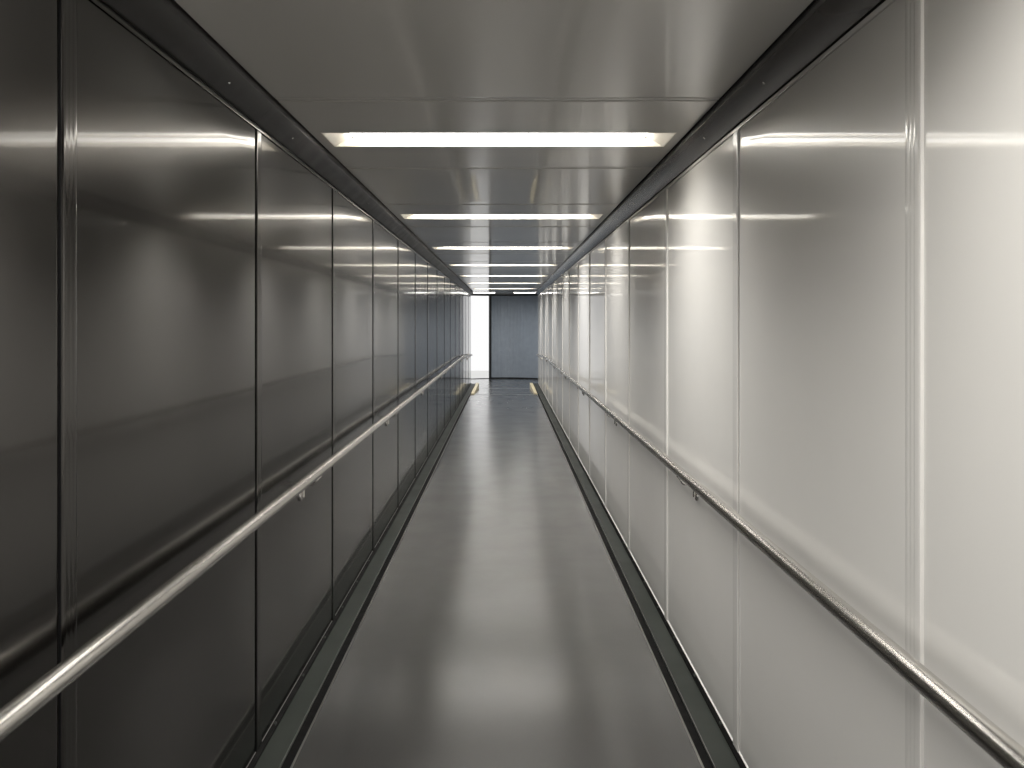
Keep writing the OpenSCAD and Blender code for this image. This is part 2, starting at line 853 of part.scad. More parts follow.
module cab_roof() {
    color("lightgray") in_place() {
        cab_slab(eave_r, cab_roof_z, cab_roof_z + cab_roof_h);
        intersection() {
            translate([0, cab_cy, cab_roof_z + cab_roof_h])
                cylinder(r1 = eave_r, r2 = eave_r / 3, h = cab_roof_rise);
            block([-eave_r, cab_y0, cab_roof_z], [eave_r, cab_cy + eave_r, portal_top]);
        }
    }
}

// Two long beams and two cross beams under the cab's deck
module cab_underframe() {
    color("slategray") in_place() {
        both_sides() block([cab_beam_x - cab_beam_w / 2, cab_y0, chord_bottom],
                           [cab_beam_x + cab_beam_w / 2, cab_cy + deck_r * 0.75, cab_deck_bottom]);
        for (y = [-0.3, 0.5])
            translate([0, cab_cy + y * deck_r, 0])
                block([-deck_r * 0.72, -cab_beam_w / 2, chord_bottom + 20],
                      [deck_r * 0.72, cab_beam_w / 2, cab_deck_bottom]);
    }
}

// Points along the slats' face, at radius r on the slats and r_joint in the grooves between them
function slat_face(a0, a1, n, r, r_joint) =
    let (step = (a1 - a0) / n)
    concat(
        [for (i = [0 : n - 1], p = [[0, r_joint], [0.12, r], [0.88, r]])
            [-p[1] * sin(a0 + (i + p[0]) * step), p[1] * cos(a0 + (i + p[0]) * step)]],
        [[-r_joint * sin(a1), r_joint * cos(a1)]]
    );

function reversed(list) = [for (i = [len(list) - 1 : -1 : 0]) list[i]];

// Curtain of upright slats from angle a0 to a1, counted to the left of straight ahead
module curtain(a0, a1) {
    slats = round((a1 - a0) * PI / 180 * cab_r / slat_w);
    inner = slat_face(a0, a1, slats, cab_r, cab_r + slat_groove);
    outer = slat_face(a0, a1, slats, cab_r + curtain_t, cab_r + curtain_t - slat_groove);
    intersection() {
        translate([0, cab_cy, floor_track_z]) linear_extrude(head_track_z - floor_track_z)
            polygon(concat(inner, reversed(outer)));
        block([-eave_r, housing_y1, floor_track_z], [eave_r, cab_cy + eave_r, head_track_z]);
    }
}

module left_curtain() {
    color("#6e7780") in_place() curtain(far_angle, arc_foot_a);
}

module right_curtain() {
    color("#6e7780") in_place() curtain(-arc_foot_a, near_angle);
}

module curtain_tracks() {
    color("#26282a") in_place() intersection() {
        union() {
            sector(track_r0, track_r1, head_track_z, cab_ceiling_z, -arc_foot_a, arc_foot_a);
            sector(track_r0, track_r1, cab_deck_top, floor_track_z, -arc_foot_a, near_angle);
            sector(track_r0, track_r1, cab_deck_top, floor_track_z, far_angle, arc_foot_a);
        }
        block([-eave_r, housing_y1, cab_deck_top], [eave_r, cab_cy + eave_r, cab_ceiling_z]);
    }
}

module curtain_housings() {
    color("slategray") in_place() both_sides()
        block([housing_x0, cab_y0, cab_deck_top], [housing_x1, housing_y1, cab_ceiling_z]);
}

module front_posts() {
    color("#26282a") in_place() {
        sector(track_r0, track_r1, cab_deck_top, head_track_z, near_angle, near_angle + post_a);
        sector(track_r0, track_r1, cab_deck_top, head_track_z, far_angle - post_a, far_angle);
    }
}

module bumper() {
    color("black") in_place()
        sector(deck_r, deck_r + bumper_t, cab_deck_top + bumper_rise - bumper_h,
               cab_deck_top + bumper_rise, near_angle, far_angle);
}

module cab_lights() {
    color("whitesmoke") in_place() both_sides()
        translate([cab_light_x, cab_cy - cab_light_back, cab_ceiling_z - cab_light_h])
            block([-cab_light_len / 2, -cab_light_w / 2, 0],
                  [cab_light_len / 2, cab_light_w / 2, cab_light_h]);
}

near_portal();
far_portal();
bottom_chords();
top_chords();
floor_deck();
cross_beams();
floor_covering();
ramp_covering();
ramp_fairings();
floor_trims();
side_seals();
kerb_strips();
base_trims();
left_lining();
right_lining();
left_seam_strips();
right_seam_strips();
side_walls();
outer_sheets();
wall_posts();
top_trims();
cornices();
ceiling_panels();
ceiling_strips();
light_housings();
light_lenses();
roof_beams();
roof();
gutters();
left_handrail();
right_handrail();
rail_brackets();
near_support();
far_support();
cab_floor();
cab_mat();
cab_ceiling();
cab_roof();
cab_underframe();
left_curtain();
right_curtain();
curtain_tracks();
curtain_housings();
front_posts();
bumper();
cab_lights();
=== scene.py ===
# Jet bridge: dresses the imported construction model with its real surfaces, small fittings, light and a camera.
import math

import bmesh
import bpy
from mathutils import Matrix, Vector, noise


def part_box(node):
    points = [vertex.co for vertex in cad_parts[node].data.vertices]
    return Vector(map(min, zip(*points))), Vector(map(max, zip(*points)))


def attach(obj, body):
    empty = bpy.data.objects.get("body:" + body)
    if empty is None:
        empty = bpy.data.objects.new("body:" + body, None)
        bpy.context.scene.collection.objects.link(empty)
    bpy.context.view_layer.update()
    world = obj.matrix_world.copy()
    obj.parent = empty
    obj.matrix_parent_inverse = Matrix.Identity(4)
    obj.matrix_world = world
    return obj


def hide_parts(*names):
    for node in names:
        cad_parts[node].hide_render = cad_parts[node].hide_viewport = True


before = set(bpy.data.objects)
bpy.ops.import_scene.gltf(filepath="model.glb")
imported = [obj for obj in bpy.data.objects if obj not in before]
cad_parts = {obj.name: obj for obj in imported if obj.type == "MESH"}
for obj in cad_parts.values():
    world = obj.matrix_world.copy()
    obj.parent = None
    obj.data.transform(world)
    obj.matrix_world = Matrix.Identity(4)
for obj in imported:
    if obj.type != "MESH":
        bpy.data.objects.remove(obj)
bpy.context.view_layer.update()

bl_info = {
    "name": "Jet Bridge",
    "version": (1, 0, 0),
    "blender": (4, 5, 0),
    "location": "3D View > Sidebar > Jet Bridge",
    "description": "Wall panels, ceiling, handrails, fittings and finishes of a boarding bridge",
    "category": "Object",
}

MM = 0.001
UP = Vector((0, 0, 1))
ALONG = Vector((0, 1, 0))


def span(node, axis):
    """The lowest and highest place of a solid of the construction model, along axis x, y or z."""
    return [getattr(corner, axis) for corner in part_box(node)]


# Places in metres. Most come from the construction model's boxes, and the rest repeat its named sizes.
NEAR_Y, FAR_Y = span("side_walls", "y")
FLOOR_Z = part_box("floor_covering")[1].z
SIDES = ((-1, "left", "charcoal_laminate"), (1, "right", "pale_laminate"))

# Each bay holds a panel of each wall and of the ceiling, and every second one a light
BAYS = 16
BAY = (FAR_Y - NEAR_Y) / BAYS
JOINT_YS = [NEAR_Y + bay * BAY for bay in range(1, BAYS)]
LIGHT_YS = [NEAR_Y + (2 * i + 0.5) * BAY for i in range(BAYS // 2)]

# The walls: the panels' face and back, their foot and head, and half the gap between two of them
WALL_X, WALL_BACK = span("right_lining", "x")
WALL_Z0, WALL_Z1 = span("right_lining", "z")
SEAM_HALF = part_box("right_lining")[0].y - NEAR_Y
STRIP_Z0, STRIP_Z1 = span("top_trims", "z")
CORNICE_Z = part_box("cornices")[0].z
KERB_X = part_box("kerb_strips")[1].x - 90 * MM

# The ceiling: a gap, backed in black as painted shade, runs between it and the cornice, and smaller gaps between
# its panels
CEILING_Z, CEILING_BACK = span("ceiling_panels", "z")
CORNICE_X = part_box("ceiling_panels")[1].x
CEILING_X = CORNICE_X - 9 * MM
CEILING_HALF_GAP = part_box("ceiling_panels")[0].y - NEAR_Y
LIGHT_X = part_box("light_housings")[1].x
LIGHT_HALF_Y = LIGHT_YS[0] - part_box("light_housings")[0].y

# The handrails' middle line: level up to a bend, then falling as the ramp does, with an elbow at each end
RAIL_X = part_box("right_handrail")[0].x + 25 * MM
RAIL_Z = FLOOR_Z + 910 * MM
RAIL_NEAR_Y = NEAR_Y + 150 * MM
RAIL_BEND_Y = FAR_Y - 4850 * MM
RAIL_END_Y = FAR_Y - 1050 * MM
RAIL_FALL = 120 * MM
ELBOW_R = 48 * MM

# The outside: wall posts and the ribbed sheets between them, chords, roof and supports
POST_HALF = 60 * MM
POST_YS = [min(max(i * 4 * BAY, POST_HALF), FAR_Y - NEAR_Y - POST_HALF) + NEAR_Y for i in range(BAYS // 4 + 1)]
POST_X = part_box("wall_posts")[1].x
SHEET_Z0, SHEET_Z1 = span("outer_sheets", "z")
VALLEY_X, RIB_PITCH = 952 * MM, 200 * MM
CHORD_X, ROOF_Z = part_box("roof")[1].x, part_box("roof")[0].z
CHORD_Z0, CHORD_Z1 = span("bottom_chords", "z")
ROOF_SEAM, ROOF_RISE = 45 * MM, 35 * MM
COLUMN_X, COLUMN_HALF = 850 * MM, 150 * MM
HEAD_BEAM, TIE_Z = 350 * MM, 1200 * MM

# The cab's round walls start 300 mm past the tunnel, 1260 mm from the middle line, and their radius is 1850 mm
CAB_Y = FAR_Y + 300 * MM + math.sqrt(1.85 ** 2 - 1.26 ** 2)


def linear(code):
    """Turns an sRGB hex colour into linear red, green, blue and alpha."""
    parts = [int(code[i:i + 2], 16) / 255 for i in (1, 3, 5)]
    return tuple(v / 12.92 if v <= 0.04045 else ((v + 0.055) / 1.055) ** 2.4 for v in parts) + (1.0,)


# ---- what a user may change

def length(label, text, value, low, high):
    """A length that the sidebar shows, given in millimetres."""
    return bpy.props.FloatProperty(name=label, description=text, default=value * MM, min=low * MM,
                                   max=high * MM, unit="LENGTH", precision=4)


def colour(label, text, code):
    """A surface colour that the sidebar shows."""
    return bpy.props.FloatVectorProperty(name=label, description=text, default=linear(code), size=4,
                                         min=0.0, max=1.0, subtype="COLOR")


class JetBridgeSizes(bpy.types.PropertyGroup):
    """Sizes of the lining, ceiling and fittings."""
    panel_edge: length("Panel edge", "Radius that the wall panels' edges are turned to", 1.2, 0.5, 3)
    wall_wave: length("Wall wave", "How far the wall panels stand off a true plane", 0.2, 0, 1)
    ceiling_wave: length("Ceiling wave", "How far the ceiling panels stand off a true plane", 0.45, 0, 2)
    ceiling_strip: length("Ceiling strip", "Width of the strips between the ceiling panels", 24, 20, 40)
    rib_height: length("Rib height", "Height of the fine upright ribs beside each joint", 0.5, 0, 2)
    left_bead: length("Left bead", "Height of the bright bead under the left wall's panels", 3, 2, 10)
    right_bead: length("Right bead", "Height of the pale bead under the right wall's panels", 7, 2, 10)
    rail_diameter: length("Rail diameter", "Outside diameter of the handrails", 44, 36, 50)


class JetBridgeColours(bpy.types.PropertyGroup):
    """Colours of the surfaces."""
    left_wall: colour("Left wall", "Charcoal laminate", "#575553")
    right_wall: colour("Right wall", "Pale warm laminate", "#cac7c1")
    ceiling: colour("Ceiling", "Gloss enamel of the ceiling", "#c4c0b9")
    left_cornice: colour("Left cornice", "Satin enamel of the left cornice", "#2b2827")
    # The right cornice's enamel is the left one's painted lighter: painted light from the pale wall below it
    right_cornice: colour("Right cornice", "Satin enamel of the right cornice", "#4b4744")
    floor: colour("Floor", "Rubber sheet of the floor", "#1f1e1d")
    steel: colour("Steel", "Paint of the steel frame", "#7b7e80")
    sheet: colour("Sheets", "Coating of the outer sheets", "#cfd1d1")
    slats: colour("Slats", "Coating of the curtain slats", "#99a1aa")


# ---- materials

def add(tree, kind, inputs=(), **settings):
    """Adds one node, sets its settings, and fills or links its inputs."""
    node = tree.nodes.new(kind)
    for key, value in settings.items():
        setattr(node, key, value)
    for key, value in dict(inputs).items():
        if isinstance(value, bpy.types.NodeSocket):
            tree.links.new(value, node.inputs[key])
        else:
            node.inputs[key].default_value = value
    return node


def shaded(tint, factor):
    """The same colour, darker."""
    return tuple(min(1.0, v * factor) for v in tint[:3]) + (1.0,)


def surface(name, tint, shade, patch, rough, grain, depth=0, stretch=(1, 1, 1), **sockets):
    """A procedural surface: two close colours in patches, uneven gloss, and a fine grain in relief.

    tint is a hex code or a linear colour, and shade a hex code or how much darker than tint it is.
    patch and grain are the sizes of the colour patches and of the grain, and depth is the relief, all in
    millimetres. rough is the lowest and highest roughness, and stretch draws the grain out along an axis.
    """
    tint = linear(tint) if isinstance(tint, str) else tint
    shade = linear(shade) if isinstance(shade, str) else shaded(tint, shade)
    mat = bpy.data.materials.new(name)
    mat.use_nodes = True
    tree = mat.node_tree
    shader = tree.nodes["Principled BSDF"]
    place = add(tree, "ShaderNodeTexCoord").outputs["Object"]
    cloud = add(tree, "ShaderNodeTexNoise", {"Vector": place, "Scale": 1 / (patch * MM), "Detail": 4.0,
                                             "Roughness": 0.55}).outputs["Fac"]
    drawn = add(tree, "ShaderNodeMapping", {"Vector": place, "Scale": stretch}).outputs[0]
    fine = add(tree, "ShaderNodeTexNoise", {"Vector": drawn, "Scale": 1 / (grain * MM), "Detail": 3.0,
                                            "Roughness": 0.6}).outputs["Fac"]
    mixed = add(tree, "ShaderNodeMath", {0: cloud, 1: fine, 2: 0.12}, operation="MULTIPLY_ADD").outputs[0]
    amount = add(tree, "ShaderNodeMapRange", {"Value": mixed, "From Min": 0.1, "From Max": 0.65},
                 interpolation_type="SMOOTHSTEP").outputs[0]
    blend = add(tree, "ShaderNodeMix", {0: amount, 6: tint, 7: shade}, data_type="RGBA").outputs[2]
    tree.links.new(blend, shader.inputs["Base Color"])
    gloss = add(tree, "ShaderNodeMapRange", {"Value": cloud, "From Min": 0.25, "From Max": 0.75,
                                             "To Min": rough[0], "To Max": rough[1]},
                interpolation_type="SMOOTHSTEP")
    tree.links.new(gloss.outputs[0], shader.inputs["Roughness"])
    if depth:
        relief = add(tree, "ShaderNodeBump", {"Height": fine, "Strength": 1.0, "Distance": depth * MM})
        for layer in ("Normal", "Coat Normal"):
            tree.links.new(relief.outputs[0], shader.inputs[layer])
    for key, value in sockets.items():
        shader.inputs[key.replace("_", " ").title().replace("Ior", "IOR")].default_value = value
    return mat


def make_materials(c):
    """Every surface of the bridge, by the name of the material slot that it stands for."""
    return {
        # High-pressure laminate with a metallic layer under a pressed gloss face: a dark mirror
        "charcoal_laminate": surface("charcoal_laminate_gloss_pressed", c.left_wall, 0.94, 400, (0.19, 0.22), 3,
            metallic=1.0, specular_tint=(0.7, 0.7, 0.7, 1), anisotropic=0.6, anisotropic_rotation=0.25,
            coat_weight=0.5, coat_roughness=0.065),
        # The same sheet in a pale warm tone: soft pools of light with a clear mirror over them
        "pale_laminate": surface("pale_laminate_gloss_pressed", c.right_wall, 0.97, 400, (0.3, 0.36), 3,
            coat_weight=0.6, coat_roughness=0.055),
        # Gloss enamel baked on sheet: mirrors the handrails as wavy pale lines
        "ceiling_enamel": surface("ceiling_enamel_gloss_baked", c.ceiling, 0.985, 600, (0.28, 0.3), 4,
            coat_weight=0.8, coat_roughness=0.06),
        # The same enamel on narrow strip: a shade deeper and softer than the panels beside it
        "ceiling_strip": surface("ceiling_strip_enamel_baked", c.ceiling, 0.93, 60, (0.3, 0.38), 2,
            coat_weight=0.6, coat_roughness=0.08),
        # Satin enamel sprayed on bent sheet: a soft sheen along its slope
        "cornice_enamel": surface("dark_cornice_enamel_sprayed", c.left_cornice, 0.85, 120, (0.34, 0.44), 1.5,
            0.006),
        # Satin enamel under a clear coat, painted lighter than the left cornice's: painted light from the pale
        # wall below it, with a real sheen from the coat
        "pale_cornice_enamel": surface("pale_cornice_enamel_sprayed", c.right_cornice, 0.94, 900, (0.24, 0.268),
            1.5, coat_weight=0.8, coat_roughness=0.2),
        # Extruded, then anodised: die lines along its length, 0.2 mm apart and drawn 0.8 mm to show
        "trim_aluminium": surface("aluminium_anodised_extruded", "#aeaeaa", "#a6a6a2", 600, (0.36, 0.4), 0.8,
            stretch=(1, 0.02, 1), metallic=1.0),
        # Tube ground along its length: a long soft highlight; 0.2 mm scratches, drawn 1.2 mm to show
        "rail_stainless": surface("stainless_steel_brushed_long", "#dbd8d3", "#d0cdc8", 900, (0.245, 0.268), 1.2,
            stretch=(1, 0.015, 1), metallic=1.0),
        # Sheet calendered and worn by feet: a broad sheen broken by scuffs, 2 mm wide and drawn 11 mm to show
        "floor_rubber": surface("rubber_sheet_calendered_worn", c.floor, 0.7, 320, (0.285, 0.34), 11, 0.05,
            (1, 0.4, 1), coat_weight=1.0, coat_roughness=0.2, coat_ior=2.0),
        # Rubber pushed through a die: a deep black line with hardly any gloss
        "black_rubber": surface("black_rubber_extruded", "#100f0f", "#0b0b0b", 50, (0.6, 0.72), 1.2, 0.05,
            specular_ior_level=0.2),
        # The laminate pressed over ribs, painted a shade darker than the panels beside it: painted shade for the
        # ribs' weaker reflection
        "pale_profile": surface("pale_laminate_ribbed_pressed", shaded(c.right_wall, 0.93), 0.9 / 0.93, 400,
            (0.3, 0.36), 3, coat_weight=0.8, coat_roughness=0.08),
        # Vinyl pushed through a die: a pale line with a dull, even face
        "grey_seal": surface("pale_vinyl_channel_extruded", "#e2dfd9", "#dad7d1", 50, (0.45, 0.55), 1.2, 0.01),
        # Enamel sprayed on folded strip: dark grey-green with a dull sheen
        "kerb_enamel": surface("kerb_enamel_satin_sprayed", "#2c2f2b", "#262925", 300, (0.48, 0.56), 1.5, 0.02),
        # Enamel sprayed on folded sheet: cream, with a warm dull sheen
        "fairing_enamel": surface("fairing_enamel_satin_sprayed", "#c4b898", "#b5a98b", 90, (0.35, 0.45), 1.5,
            0.02),
        # Enamel baked on folded sheet: a clean pale face inside the lamps' recess
        "lamp_enamel": surface("lamp_enamel_baked", "#efe9dd", "#e8e2d6", 90, (0.35, 0.45), 1.5),
        # Opal acrylic sheet lit from behind: an even white with no lamp showing through
        "lamp_lens": surface("acrylic_opal_sheet_cast", "#f6f3ec", "#efece4", 80, (0.35, 0.45), 2,
            emission_color=linear("#fffdf8"), emission_strength=9.0),
        # Steel with a primer and a finish coat, brushed and rolled on: uneven, fairly dull grey
        "frame_paint": surface("steel_two_coat_painted", c.steel, 0.8, 220, (0.42, 0.56), 2.5, 0.06),
        # Roll-formed sheet, coated on the coil: even and slightly glossy
        "sheet_paint": surface("steel_sheet_coil_coated", c.sheet, 0.93, 350, (0.34, 0.44), 2, 0.01),
        # Slats with a thin coat: blue-grey, with a little of the metal's shine
        "slat_aluminium": surface("aluminium_slat_coated", c.slats, 0.85, 140, (0.3, 0.42), 1, 0.01, metallic=0.3),
        # Enamel sprayed on tracks and posts: satin black edges round the curtains
        "track_paint": surface("track_enamel_satin_black", "#262728", "#1d1e1f", 80, (0.38, 0.5), 1.5, 0.02),
    }


MATERIALS = {}


# ---- shapes

def placed(name, data, at=(0, 0, 0), turned=(0, 0, 0), **settings):
    """Puts a mesh, lamp or camera with its settings into the scene; turned holds degrees."""
    for key, value in settings.items():
        setattr(data, key, value)
    obj = bpy.data.objects.new(name, data)
    obj.location = at
    obj.rotation_euler = [math.radians(a) for a in turned]
    bpy.context.scene.collection.objects.link(obj)
    return obj


def piece(name, bm, slot, replaced=(), finish=None, flat=30):
    """Turns a finished shape into a piece of the object that moves with its body."""
    bmesh.ops.recalc_face_normals(bm, faces=bm.faces)
    mesh = bpy.data.meshes.new(name)
    bm.to_mesh(mesh)
    bm.free()
    mesh.materials.append(MATERIALS[finish or slot])
    mesh.shade_smooth()
    mesh.set_sharp_from_angle(angle=math.radians(flat))
    obj = placed(name, mesh)
    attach(obj, "root")
    if replaced:
        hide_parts(*replaced)
    return obj


def scaled(points, unit=MM, a=0, b=0):
    """Turns pairs of plain numbers into lengths of a unit, counted from a place (a, b)."""
    return [(a + p * unit, b + q * unit) for p, q in points]


def loft(bm, rings, closed=False):
    """Joins rings of points with faces; the last ring meets the first if closed, and ends are capped if not."""
    rings = [[bm.verts.new(p) for p in ring] for ring in rings]
    for low, high in zip(rings, rings[1:] + rings[:1] if closed else rings[1:]):
        for k in range(len(low)):
            n = (k + 1) % len(low)
            bm.faces.new((low[k], low[n], high[n], high[k]))
    if not closed:
        bm.faces.new(rings[0])
        bm.faces.new(rings[-1])


def run(bm, side, section, ys):
    """Carries a section of (x, z) points along the bridge; side -1 mirrors it to the left."""
    loft(bm, [[(side * x, y, z) for x, z in section] for y in ys])


def skin(bm, us, vs, front, back, hole=None):
    """A closed sheet: a fine front face, edges, and a plain back. hole leaves out a middle rectangle."""
    grid = [[bm.verts.new(front(u, v)) for v in vs] for u in us]
    behind = {}
    faces = []
    for i in range(len(us) - 1):
        for j in range(len(vs) - 1):
            if hole and hole[0] < (us[i] + us[i + 1]) / 2 < hole[1] \
                    and hole[2] < (vs[j] + vs[j + 1]) / 2 < hole[3]:
                continue
            faces.append(bm.faces.new((grid[i][j], grid[i + 1][j], grid[i + 1][j + 1], grid[i][j + 1])))
    where = {grid[i][j]: (us[i], vs[j]) for i in range(len(us)) for j in range(len(vs))}
    rim = [e for f in faces for e in f.edges if e.is_boundary]
    back_edges = []
    for edge in rim:
        ends = []
        for vert in edge.verts:
            if vert not in behind:
                behind[vert] = bm.verts.new(back(*where[vert]))
            ends.append(behind[vert])
        side = bm.faces.new((edge.verts[0], edge.verts[1], ends[1], ends[0]))
        back_edges += [e for e in side.edges if e.verts[0] in ends and e.verts[1] in ends]
    bmesh.ops.triangle_fill(bm, use_beauty=False, use_dissolve=False, edges=back_edges)
    for vert in [v for row in grid for v in row if not v.link_faces]:
        bm.verts.remove(vert)


def turn(bm, profile, start, axis, sides=32):
    """Turns a profile of (radius, height) round an axis from a start point."""
    axis = Vector(axis).normalized()
    across = axis.orthogonal().normalized()
    other = axis.cross(across)
    rings = []
    for radius, height in profile:
        middle = Vector(start) + axis * height
        if radius < 1e-7:
            rings.append([bm.verts.new(middle)])
            continue
        rings.append([bm.verts.new(middle + (across * math.cos(a) + other * math.sin(a)) * radius)
                      for a in (math.tau * k / sides for k in range(sides))])
    for low, high in zip(rings, rings[1:]):
        for k in range(sides):
            n = (k + 1) % sides
            corners = [low[k % len(low)], low[n % len(low)], high[n % len(high)], high[k % len(high)]]
            bm.faces.new(list(dict.fromkeys(corners)))
    for ring in (rings[0], rings[-1]):
        if len(ring) > 2:
            bm.faces.new(ring)


def sweep(bm, points, radius, sides=24, section=None):
    """Carries a round section, or one of given (side, up) points, along a line of points."""
    points = [Vector(p) for p in points]
    section = section or [(radius * math.cos(math.tau * k / sides), radius * math.sin(math.tau * k / sides))
                          for k in range(sides)]
    rings, up = [], None
    for i, point in enumerate(points):
        back = point - points[i - 1] if i else points[1] - point
        ahead = points[i + 1] - point if i + 1 < len(points) else back
        along = (back.normalized() + ahead.normalized()).normalized()
        up = up or (UP if abs(along.z) < 0.9 else ALONG)
        up = (up - along * up.dot(along)).normalized()
        rings.append([point + along.cross(up) * a + up * b for a, b in section])
    loft(bm, rings)


def bend(middle, radius, plane, a0, a1, steps=10):
    """Points on an arc about a middle, in the plane of two unit directions."""
    e, f = (Vector(d) for d in plane)
    return [Vector(middle) + e * radius * math.cos(a) + f * radius * math.sin(a)
            for a in (math.radians(a0 + (a1 - a0) * k / steps) for k in range(steps + 1))]


def soft_box(bm, corner, other, radius, steps=2):
    """A block between two opposite corners, with rounded edges."""
    made = bmesh.ops.create_cube(bm, size=1.0)["verts"]
    size = [abs(a - b) for a, b in zip(corner, other)]
    middle = (Vector(corner) + Vector(other)) / 2
    for vert in made:
        vert.co = middle + Vector([vert.co[k] * size[k] for k in range(3)])
    edges = list(dict.fromkeys(e for v in made for e in v.link_edges))
    bmesh.ops.bevel(bm, geom=edges, offset=radius, segments=steps, profile=0.5, affect="EDGES")


def screw(bm, at, axis, radius):
    """A low round screw head with a socket."""
    head = ((0, 0.15), (0.38, 0.15), (0.42, 0.55), (0.75, 0.48), (0.95, 0.25), (1, 0), (1, -0.3), (0, -0.3))
    turn(bm, scaled(head, radius), at, axis, 16)


def bolt(bm, at, axis, radius):
    """A hexagon head on a washer; radius is that of the head's corners."""
    washer = ((0, -0.2), (1.35, -0.2), (1.35, 0.12), (1.25, 0.2), (0, 0.2))
    head = ((0, 0.15), (1, 0.15), (1, 0.75), (0.86, 0.86), (0, 0.86))
    turn(bm, scaled(washer, radius), at, axis, 12)
    turn(bm, scaled(head, radius), at, axis, 6)


def disc(bm, at, axis, radius, thick, edge):
    """A round plate with a turned edge."""
    turn(bm, [(0, 0), (radius, 0), (radius, thick - edge), (radius - 0.3 * edge, thick - 0.3 * edge),
              (radius - edge, thick), (0, thick)], at, axis, 40)


def spaced(start, end, count):
    """Evenly spaced numbers from start to end, count steps apart."""
    return [start + (end - start) * k / count for k in range(count + 1)]


def rounded_steps(radius, steps=4):
    """Distances from an edge at which a turned edge has its points."""
    return [radius * (1 - math.cos(math.pi / 2 * k / steps)) for k in range(steps + 1)]


def edge_fall(distance, radius):
    """How far a turned edge lies behind the face, at a distance from the edge."""
    if distance >= radius:
        return 0.0
    return radius - math.sqrt(max(0.0, radius ** 2 - (radius - distance) ** 2))


def fade(distance, width):
    """0 at an edge, 1 from a width away, and smooth between."""
    t = max(0.0, min(1.0, distance / width))
    return t * t * (3 - 2 * t)


# ---- pieces

HEM = 62 * MM                            # where the ribbed strip ends, from the middle of the joint


class JETBRIDGE_OT_wall_panels(bpy.types.Operator):
    """Gloss wall panels with turned edges and a slight wave"""
    bl_idname = "jetbridge.wall_panels"
    bl_label = "Wall panels"

    def execute(self, context):
        sizes = context.scene.jet_bridge_sizes
        for side, word, slot in SIDES:
            bm = bmesh.new()
            for bay in range(BAYS):
                self.panel(bm, side, bay, sizes)
            piece(word + "_wall_panels", bm, slot, (word + "_lining",), flat=50)
        return {"FINISHED"}

    def panel(self, bm, side, bay, sizes):
        joint = NEAR_Y + bay * BAY
        y0, y1 = joint + SEAM_HALF, joint + BAY - SEAM_HALF
        r = sizes.panel_edge
        turned = rounded_steps(r)
        ys = [y0 + d for d in turned] + [y1 - d for d in turned]
        ys += spaced(y0 + 10 * MM, y1 - 10 * MM, 26)
        zs = [WALL_Z0 + d for d in turned] + [WALL_Z1 - d for d in turned]
        zs += spaced(WALL_Z0, WALL_Z1, 24)[1:-1]
        seed = bay * 3.7 + (50 if side > 0 else 0)

        def front(y, z):
            near = min(y - y0, y1 - y)
            low = min(z - WALL_Z0, WALL_Z1 - z)
            fall = edge_fall(near, r) + edge_fall(low, r)
            # A broad wave and a finer one, which fade out towards the panel's edges
            wave = noise.noise(Vector((y / 0.62, z / 0.8, seed))) * sizes.wall_wave * 2
            wave += noise.noise(Vector((y / 0.21, z / 0.3, seed + 9))) * sizes.wall_wave * 0.5
            wave *= fade(near, 90 * MM) * fade(low, 90 * MM)
            return Vector((side * (WALL_X + fall + wave), y, z))

        def back(y, z):
            return Vector((side * WALL_BACK, y, z))

        skin(bm, sorted(set(ys)), sorted(set(zs)), front, back)


class JETBRIDGE_OT_joint_profiles(bpy.types.Operator):
    """Raised ribbed strips beyond each joint, with a black edge on the left and a pale one on the right"""
    bl_idname = "jetbridge.joint_profiles"
    bl_label = "Joint profiles"

    RIBS = (17 * MM, 32 * MM, 47 * MM)   # the fine upright ribs, from the middle of the joint
    RIB_HALF = 5 * MM
    # Sections across the joint in millimetres: (along the bridge, behind the panels' face)
    EDGES = {
        "left": [(-4.8, 19), (-4.8, 1), (-2.6, 0.6), (-2, 0.2), (-2, -2.5), (-1.6, -3.1), (0.1, -3.1), (0.5, -2.6),
                 (0.5, 1), (4.8, 1), (4.8, 19)],
        "right": [(-4.8, 19), (-4.8, 1), (-4.5, 0.4), (-4.5, -4.6), (-3.9, -5.4), (0, -5.4), (0.5, -4.8), (0.5, 1),
                  (4.8, 1), (4.8, 19)],
    }

    def execute(self, context):
        height = context.scene.jet_bridge_sizes.rib_height
        for (side, word, slot), finish, edge_slot, proud, rib in (
                (SIDES[0], "charcoal_laminate", "black_rubber", 3 * MM, 0.3 * height),
                # The right strips' laminate is painted darker than the wall's: painted shade
                (SIDES[1], "pale_profile", "grey_seal", 5.2 * MM, height)):
            edges, ribbed = bmesh.new(), bmesh.new()
            for y in JOINT_YS:
                self.upright(edges, side, y, scaled(self.EDGES[word]))
                self.upright(ribbed, side, y, self.ribs(proud, rib))
            piece(word + "_joint_edges", edges, edge_slot, (word + "_seam_strips",))
            piece(word + "_ribbed_strips", ribbed, slot, finish=finish, flat=50)
        return {"FINISHED"}

    def upright(self, bm, side, y, section):
        loft(bm, [[(side * (WALL_X + x), y + v, z) for v, x in section] for z in (WALL_Z0, WALL_Z1)])

    def ribs(self, proud, height):
        section = [(0.7 * MM, MM), (0.7 * MM, 0.5 * MM - proud), (1.2 * MM, -proud)]
        for rib in self.RIBS:
            for k in range(-4, 5):
                rise = height * 0.5 * (1 + math.cos(math.pi * k / 4))
                section.append((rib + self.RIB_HALF * k / 4, -proud - rise))
        return section + [(HEM - 6 * MM, -proud), (HEM - 5 * MM, 0.4 * MM - proud), (HEM - 0.4 * MM, -0.4 * MM),
                          (HEM, 0), (HEM, MM)]


